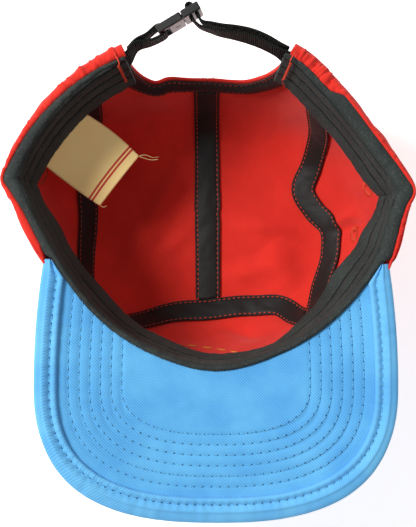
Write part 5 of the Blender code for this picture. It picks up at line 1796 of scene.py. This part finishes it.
def eyelet_tree():
    """A sewn eyelet: a ring of cord with stitches lying across it, turned and placed on the cloth."""
    group, nodes, given, out = new_group(
        "Sewn Eyelet",
        "GeometryNodeTree",
        [
            ("Ring Radius", "Float", 0.0034),
            ("Cord Radius", "Float", 0.0011),
            ("Thread Radius", "Float", 0.0003),
            ("Stitches", "Int", 34),
            ("Turn", "Vector", None),
            ("Place", "Vector", None),
            ("Thread", "Material", None),
        ],
        [("Geometry", "Geometry")],
    )

    def circle(corners, radius):
        return nodes.made("GeometryNodeCurvePrimitiveCircle", Resolution=corners, Radius=radius)

    def along_curve(path, section):
        return nodes.made("GeometryNodeCurveToMesh", Curve=path, Profile_Curve=section)

    ring = circle(given["Stitches"], given["Ring Radius"])
    cord = along_curve(ring, circle(8, given["Cord Radius"]))
    loop = circle(10, nodes.math("ADD", given["Cord Radius"], given["Thread Radius"]))
    stitch = along_curve(loop, circle(5, given["Thread Radius"]))
    turned = nodes.add("FunctionNodeAlignRotationToVector", axis="Z")
    nodes.fed(turned, Vector=nodes.made("GeometryNodeInputTangent"))
    laid = nodes.made(
        "GeometryNodeInstanceOnPoints", Points=ring, Instance=stitch, Rotation=turned.outputs[0]
    )
    joined = nodes.add("GeometryNodeJoinGeometry")
    for mesh in (cord, nodes.made("GeometryNodeRealizeInstances", laid)):
        nodes.link(mesh, joined.inputs[0])
    turn = nodes.made("FunctionNodeEulerToRotation", given["Turn"])
    moved = nodes.made(
        "GeometryNodeTransform", Geometry=joined.outputs[0], Translation=given["Place"], Rotation=turn
    )
    nodes.link(dyed(nodes, moved, given["Thread"]), out["Geometry"])
    return group


def eyelet_place(row, side):
    """The pattern place of an eyelet's middle, as a row of one."""
    if side > 0:
        angle, radius = math.radians(row.right_degrees), row.right_radius
    else:
        angle, radius = math.radians(180 - row.left_degrees), row.left_radius
    return np.array([[radius * math.cos(angle), radius * math.sin(angle)]])


def build_eyelets():
    """The four sewn eyelets, each turned to stand on the cloth."""
    for side, word in ((-1, "left"), (1, "right")):
        for row in EYELETS:
            place = eyelet_place(row, side)
            point = cloth(place)
            into = inward(cloth, place)
            point = (point + into * (wrinkles(place, point)[..., None] - CLOTH / 2))[0]
            name = f"eyelet_ring_{row.place}_{word}"
            made = in_scene(name, bpy.data.meshes.new(name))
            turn = Vector(into[0]).to_track_quat("Z", "Y").to_euler()
            tree = shared_group("Sewn Eyelet", eyelet_tree)
            grown(made, tree, Turn=tuple(turn), Place=tuple(point), Thread=material("red thread"))
            finished(made, "red_thread", f"eyelet_{row.place}_{word}")


def label_grid(across, down):
    """The label's middle surface: sewn along the sweatband's free edge, falling into the hollow, waved."""
    angle = np.linspace(LABEL_FROM, LABEL_TO, across + 1)
    places = on_wall(angle, np.full(across + 1, BAND_WIDTH + GAP * 2))
    sewn = off_cloth(places, BAND_STANDOFF + band_lean(angle) + BAND / 2)
    run = np.array([math.cos(LABEL_DIRECTION), math.sin(LABEL_DIRECTION), 0.0])
    level = math.sqrt(LABEL_LENGTH**2 - LABEL_SAG**2)
    straight = sewn[0] + (sewn[-1] - sewn[0]) * np.linspace(0, 1, across + 1)[:, None]
    ends = straight + run * level - [0, 0, LABEL_SAG]
    share = np.linspace(0, 1, down + 1)[None, :, None]
    grid = sewn[:, None] * (1 - share) + ends[:, None] * share
    grid[..., 2] -= LABEL_SAG * 0.25 * np.sin(math.pi * share[..., 0])
    aside = unit((sewn[-1] - sewn[0]) * [1, 1, 0])
    width = np.linspace(0, 1, across + 1)[:, None, None]
    grid += aside * 0.0018 * (width - 0.25) * np.sin(math.pi * share)
    grid[..., 2] += 0.0022 * (np.sin(math.pi * width[..., 0]) - 0.5) * share[..., 0]
    return grid


def thread_line(name, points, radius, thread):
    """One thread along a smooth line of points, with pointed ends."""
    line = evenly_spaced(smooth_line(points, 8), max(6, int(lengths_along(np.array(points))[-1] / 0.0006)))
    run = unit(np.gradient(line, axis=0))
    side = unit(np.cross(run, [0.1, 0.2, 1.0]))
    up = np.cross(side, run)
    turn = np.linspace(0, 2 * math.pi, 7)[:-1]
    wide = np.full(len(line), radius)
    wide[[0, -1]] = radius * 0.15
    ring = side[:, None] * np.cos(turn)[None, :, None] + up[:, None] * np.sin(turn)[None, :, None]
    points = line[:, None] + ring * wide[:, None, None]
    count, sides = points.shape[:2]
    at = np.arange(count * sides).reshape(count, sides)
    faces = [
        (at[k, j], at[k, (j + 1) % sides], at[k + 1, (j + 1) % sides], at[k + 1, j])
        for k in range(count - 1)
        for j in range(sides)
    ]
    faces += [tuple(at[0, ::-1]), tuple(at[-1])]
    finished(faced_outward(mesh_piece(name, points, faces, material(thread))), THREAD_SLOTS[thread])


def build_bar_tacks():
    """Zigzags of red thread that fasten the sweatband's two ends."""
    for row in BAR_TACKS:
        side, back, tail = row.side, row.back, row.tail
        corner = side_angle(BACK_CORNER_ANGLE, side)
        radius = rim_radius(corner)
        count = 23
        share = np.linspace(0.0, 0.72, count)
        sway = 0.0008 * (np.arange(count) % 2 * 2 - 1)
        angle = corner - side * (back + sway) / radius
        places = on_wall(angle, BAND_WIDTH * share)
        lift = BAND_STANDOFF + BAND + 0.0016 + band_lean(angle) * share**1.5
        points = off_cloth(places, lift)
        points[0] += [0, 0, 0.0022]
        start = cloth(places[:1])[0] + [0, 0, 0.0030]
        points = np.vstack([start, points])
        if tail:
            end = on_wall(corner - side * (back + tail) / radius + np.zeros(1), np.array([BAND_WIDTH * 0.98]))
            points = np.vstack([points, off_cloth(end, np.array([BAND_STANDOFF + BAND + 0.0018]))])
        thread_line(f"bar_tack_{row.place}", points, 0.0003, "red thread")


def build_loose_threads(grid):
    """Ends of thread at the label's two free corners."""
    near, far = grid[0, -1], grid[-1, -1]
    first = [far, far + [0.004, 0.0005, 0.001], far + [0.008, -0.0008, 0.0], far + [0.0115, -0.0002, -0.002]]
    second = [far, far + [0.003, -0.0012, 0.002], far + [0.007, -0.0022, 0.001], far + [0.0112, -0.0018, 0.0]]
    third = [near, near + [0.002, -0.0012, 0.0005], near + [0.004, -0.0003, 0.0]]
    for number, points in enumerate((first, second, third)):
        thread_line(f"loose_thread_{number + 1}", np.array(points), 0.00017, "pale thread")


def build_front_stitches():
    """Long ochre stitches across the inside of the front panel."""
    line = smooth_line(np.array(FRONT_STITCHES), 40)
    points = cloth(line) + inward(cloth, line) * (wrinkles(line, cloth(line)) + FRONT_THREAD)[..., None]
    stitches("front_stitches", [points], FRONT_PITCH, FRONT_STITCH, FRONT_THREAD, "ochre thread")


def build_label():
    """The folded label as a closed loop, fullest at its middle, with its loose threads."""
    grid = label_grid(60, 72)
    normal = normals_of(grid)
    normal *= np.sign(normal[..., 2:].mean())
    share = np.linspace(0, 1, grid.shape[1])[None, :]
    wave = 0.0005 * np.sin(3.1 * share + 1.0 + np.linspace(0, 2, grid.shape[0])[:, None]) * share
    thick = LABEL / 2 * (1 + 0.6 * np.sin(math.pi * share) ** 0.5)
    upper = grid + normal * (wave + thick)[..., None]
    lower = grid + normal * (wave - thick)[..., None]
    made = shell("label_loop", upper, lower, material("label satin"))
    flat_size(upper)
    finished(made, "cream_label", "label")
    build_loose_threads(grid)


# Stage


def build_floor(sizes, colours):
    """A plain pale sheet, lit a little from below."""
    side = 3.0
    mesh = bpy.data.meshes.new("floor")
    corners = [(-side, -side, 0), (side, -side, 0), (side, side, 0), (-side, side, 0)]
    mesh.from_pydata(corners, [], [(0, 1, 2, 3)])
    paper, _, shader = new_finish("pale floor", 0.9)
    shader.inputs["Base Color"].default_value = (*colours.floor, 1)
    shader.inputs["Emission Color"].default_value = (1, 1, 1, 1)
    shader.inputs["Emission Strength"].default_value = sizes.floor_glow
    mesh.materials.append(paper)
    in_scene("floor", mesh)


def build_lights(sizes):
    """Even light from all round, and a soft key light from the left back."""
    world = bpy.context.scene.world or bpy.data.worlds.new("studio")
    bpy.context.scene.world = world
    world.use_nodes = True
    sky = world.node_tree.nodes["Background"]
    sky.inputs["Color"].default_value = (1, 1, 1, 1)
    sky.inputs["Strength"].default_value = sizes.sky_light
    bpy.context.scene.view_settings.view_transform = "Standard"
    lamp = bpy.data.lights.new("key", "AREA")
    lamp.shape = "DISK"
    lamp.size = sizes.lamp_size
    lamp.energy = sizes.lamp_power
    key = in_scene("key", lamp)
    key.location = LAMP_PLACE
    key.rotation_euler = (Vector(LAMP_AIM) - key.location).to_track_quat("-Z", "Y").to_euler()


def build_camera():
    """The camera straight over the cap."""
    lens = bpy.data.cameras.new("over the cap")
    lens.sensor_fit = "VERTICAL"
    lens.sensor_height = SENSOR
    lens.lens = SENSOR * FOCAL_PIXELS / PICTURE_HEIGHT
    lens.clip_start = 0.01
    camera = in_scene("over the cap", lens)
    camera.location = (0, 0, CAMERA_HEIGHT)
    bpy.context.scene.camera = camera


def build_stage():
    sizes = bpy.context.scene.cap_sizes
    build_floor(sizes, bpy.context.scene.cap_colours)
    build_lights(sizes)
    build_camera()


def size_property(name, description, default):
    return FloatProperty(name=name, description=description, default=default, unit="LENGTH")


class CapSizes(bpy.types.PropertyGroup):
    """Sizes of the cap's sewing and relief, and the stage's light."""

    canvas_thread: size_property("Canvas Thread", "Spacing of the canvas threads", 0.0009)
    twill_line: size_property("Twill Line", "Spacing of the twill", 0.0008)
    tape_thread: size_property("Tape Thread", "Spacing of the seam tape's threads", 0.0005)
    webbing_rib: size_property("Webbing Rib", "Spacing of the webbing's ribs", 0.0011)
    rim_puff: size_property("Rim Puff", "How far the cloth stands out below the rim", 0.0025)
    gathers: size_property("Gathers", "Depth of the gathers outside the rim", 0.0008)
    tape_crown: size_property("Tape Crown", "How far a seam tape's middle stands up", 0.0006)
    tape_pitch: size_property("Tape Stitch Pitch", "Length of a stitch on the tapes", 0.0029)
    thread: size_property("Thread Radius", "Radius of the sewing thread", 0.0003)
    band_ridges: IntProperty(name="Band Ridges", description="Quilted grooves along the sweatband", default=3)
    band_ridge: size_property("Band Ridge Height", "Height of the sweatband's ridges", 0.0015)
    brim_rows: IntProperty(name="Brim Rows", description="Rows of stitches on the brim", default=6)
    brim_row_gap: size_property("Brim Row Gap", "Distance between the brim's rows of stitches", 0.0054)
    brim_pitch: size_property("Brim Stitch Pitch", "Length of a stitch on the brim", 0.0044)
    sky_light: FloatProperty(name="Sky Light", description="Strength of the even light", default=0.44)
    floor_glow: FloatProperty(name="Floor Glow", description="Light from under the floor sheet", default=0.58)
    lamp_size: size_property("Lamp Size", "Width of the key light", 0.5)
    lamp_power: FloatProperty(name="Lamp Power", description="Watts of the key light", default=23.5)


def colour_property(name, description, value):
    return FloatVectorProperty(
        name=name, description=description, default=value, subtype="COLOR", size=3, min=0.0, max=1.0
    )


class CapColours(bpy.types.PropertyGroup):
    """Colours of the cap's cloths, threads and fittings."""

    canvas: colour_property("Canvas", "Red canvas of the crown", srgb(238, 50, 36))
    canvas_shade: colour_property("Canvas Shade", "Red canvas between its threads", srgb(200, 32, 20))
    twill: colour_property("Twill", "Blue twill of the brim", srgb(112, 195, 240))
    twill_shade: colour_property("Twill Shade", "Blue twill between its lines", srgb(70, 150, 216))
    binding: colour_property("Binding", "Blue binding of the brim", srgb(114, 192, 236))
    tape: colour_property("Tape", "Black seam tape", srgb(25, 26, 24))
    tape_shade: colour_property("Tape Shade", "Black seam tape between its threads", srgb(19, 17, 17))
    band: colour_property("Band", "Black sweatband", srgb(52, 60, 57))
    band_shade: colour_property("Band Shade", "Black cotton between its threads", srgb(17, 18, 19))
    lint: colour_property("Lint", "Pale lint on the black cotton", srgb(104, 102, 98))
    webbing: colour_property("Webbing", "Black strap webbing", srgb(9, 11, 10))
    plastic: colour_property("Plastic", "Black moulded buckle", srgb(13, 14, 13))
    label: colour_property("Label", "Cream woven label", srgb(255, 226, 156))
    label_shade: colour_property("Label Shade", "Label between its threads", srgb(255, 206, 132))
    red_thread: colour_property("Red Thread", "Red sewing thread", srgb(240, 74, 48))
    stripe: colour_property("Stripe", "Red stripes of the label", srgb(206, 54, 40))
    # Painted highlight: the colour that lightens the webbing's ribs and corded edges
    rib: colour_property("Rib", "Worn ridges of the webbing", srgb(50, 57, 52))
    ochre_thread: colour_property("Ochre Thread", "Ochre sewing thread", srgb(224, 160, 50))
    floor: colour_property("Floor", "Plain pale floor", (0.9, 0.9, 0.9))


class CAP_OT_stage(bpy.types.Operator):
    """Lays the floor and sets the camera and lights"""

    bl_idname = "cap.stage"
    bl_label = "Stage"

    def execute(self, context):
        build_stage()
        return {"FINISHED"}


class CAP_OT_panels(bpy.types.Operator):
    """Lays the five canvas panels of the crown and stitches them beside their seams"""

    bl_idname = "cap.panels"
    bl_label = "Crown Panels"

    def execute(self, context):
        build_panels()
        build_topstitching()
        return {"FINISHED"}


class CAP_OT_tapes(bpy.types.Operator):
    """Sews the tapes over the seams inside the crown"""

    bl_idname = "cap.tapes"
    bl_label = "Seam Tapes"

    def execute(self, context):
        build_tapes()
        return {"FINISHED"}


class CAP_OT_hem(bpy.types.Operator):
    """Turns the crown's hem over, left and right of the back opening"""

    bl_idname = "cap.hem"
    bl_label = "Hem"

    def execute(self, context):
        build_hems()
        return {"FINISHED"}


class CAP_OT_band(bpy.types.Operator):
    """Sews in the quilted sweatband"""

    bl_idname = "cap.band"
    bl_label = "Sweatband"

    def execute(self, context):
        build_sweatband()
        return {"FINISHED"}


class CAP_OT_threads(bpy.types.Operator):
    """Sews the bar tacks and the long stitches on the front panel"""

    bl_idname = "cap.threads"
    bl_label = "Threads"

    def execute(self, context):
        build_bar_tacks()
        build_front_stitches()
        return {"FINISHED"}


class CAP_OT_brim(bpy.types.Operator):
    """Covers the brim, with its rows of stitches and its binding"""

    bl_idname = "cap.brim"
    bl_label = "Brim"

    def execute(self, context):
        build_brim()
        build_binding()
        return {"FINISHED"}


class CAP_OT_strap(bpy.types.Operator):
    """Threads the webbing strap and gives the buckle its plastic"""

    bl_idname = "cap.strap"
    bl_label = "Strap and Buckle"

    def execute(self, context):
        build_webbing()
        build_buckle()
        return {"FINISHED"}


class CAP_OT_eyelets(bpy.types.Operator):
    """Sews the four eyelets"""

    bl_idname = "cap.eyelets"
    bl_label = "Eyelets"

    def execute(self, context):
        build_eyelets()
        return {"FINISHED"}


class CAP_OT_label(bpy.types.Operator):
    """Hangs the woven label under the sweatband"""

    bl_idname = "cap.label"
    bl_label = "Label"

    def execute(self, context):
        build_label()
        return {"FINISHED"}


OPERATORS = (
    CAP_OT_stage,
    CAP_OT_panels,
    CAP_OT_tapes,
    CAP_OT_hem,
    CAP_OT_band,
    CAP_OT_threads,
    CAP_OT_brim,
    CAP_OT_strap,
    CAP_OT_eyelets,
    CAP_OT_label,
)


class CAP_PT_sewing(bpy.types.Panel):
    """Steps of the cap's making, in order"""

    bl_label = "Five-Panel Cap"
    bl_idname = "CAP_PT_sewing"
    bl_space_type = "VIEW_3D"
    bl_region_type = "UI"
    bl_category = "Cap"

    def draw(self, context):
        for step in OPERATORS:
            self.layout.operator(step.bl_idname)
        for group in (context.scene.cap_sizes, context.scene.cap_colours):
            for key in group.bl_rna.properties.keys():
                if key not in ("rna_type", "name"):
                    self.layout.prop(group, key)


CLASSES = (CapSizes, CapColours, *OPERATORS, CAP_PT_sewing)


def register():
    for made in CLASSES:
        bpy.utils.register_class(made)
    bpy.types.Scene.cap_sizes = PointerProperty(type=CapSizes)
    bpy.types.Scene.cap_colours = PointerProperty(type=CapColours)


def unregister():
    del bpy.types.Scene.cap_colours
    del bpy.types.Scene.cap_sizes
    for made in reversed(CLASSES):
        bpy.utils.unregister_class(made)


def main():
    register()
    for step in OPERATORS:
        group, name = step.bl_idname.split(".")
        getattr(getattr(bpy.ops, group), name)()


if __name__ == "__main__":
    main()
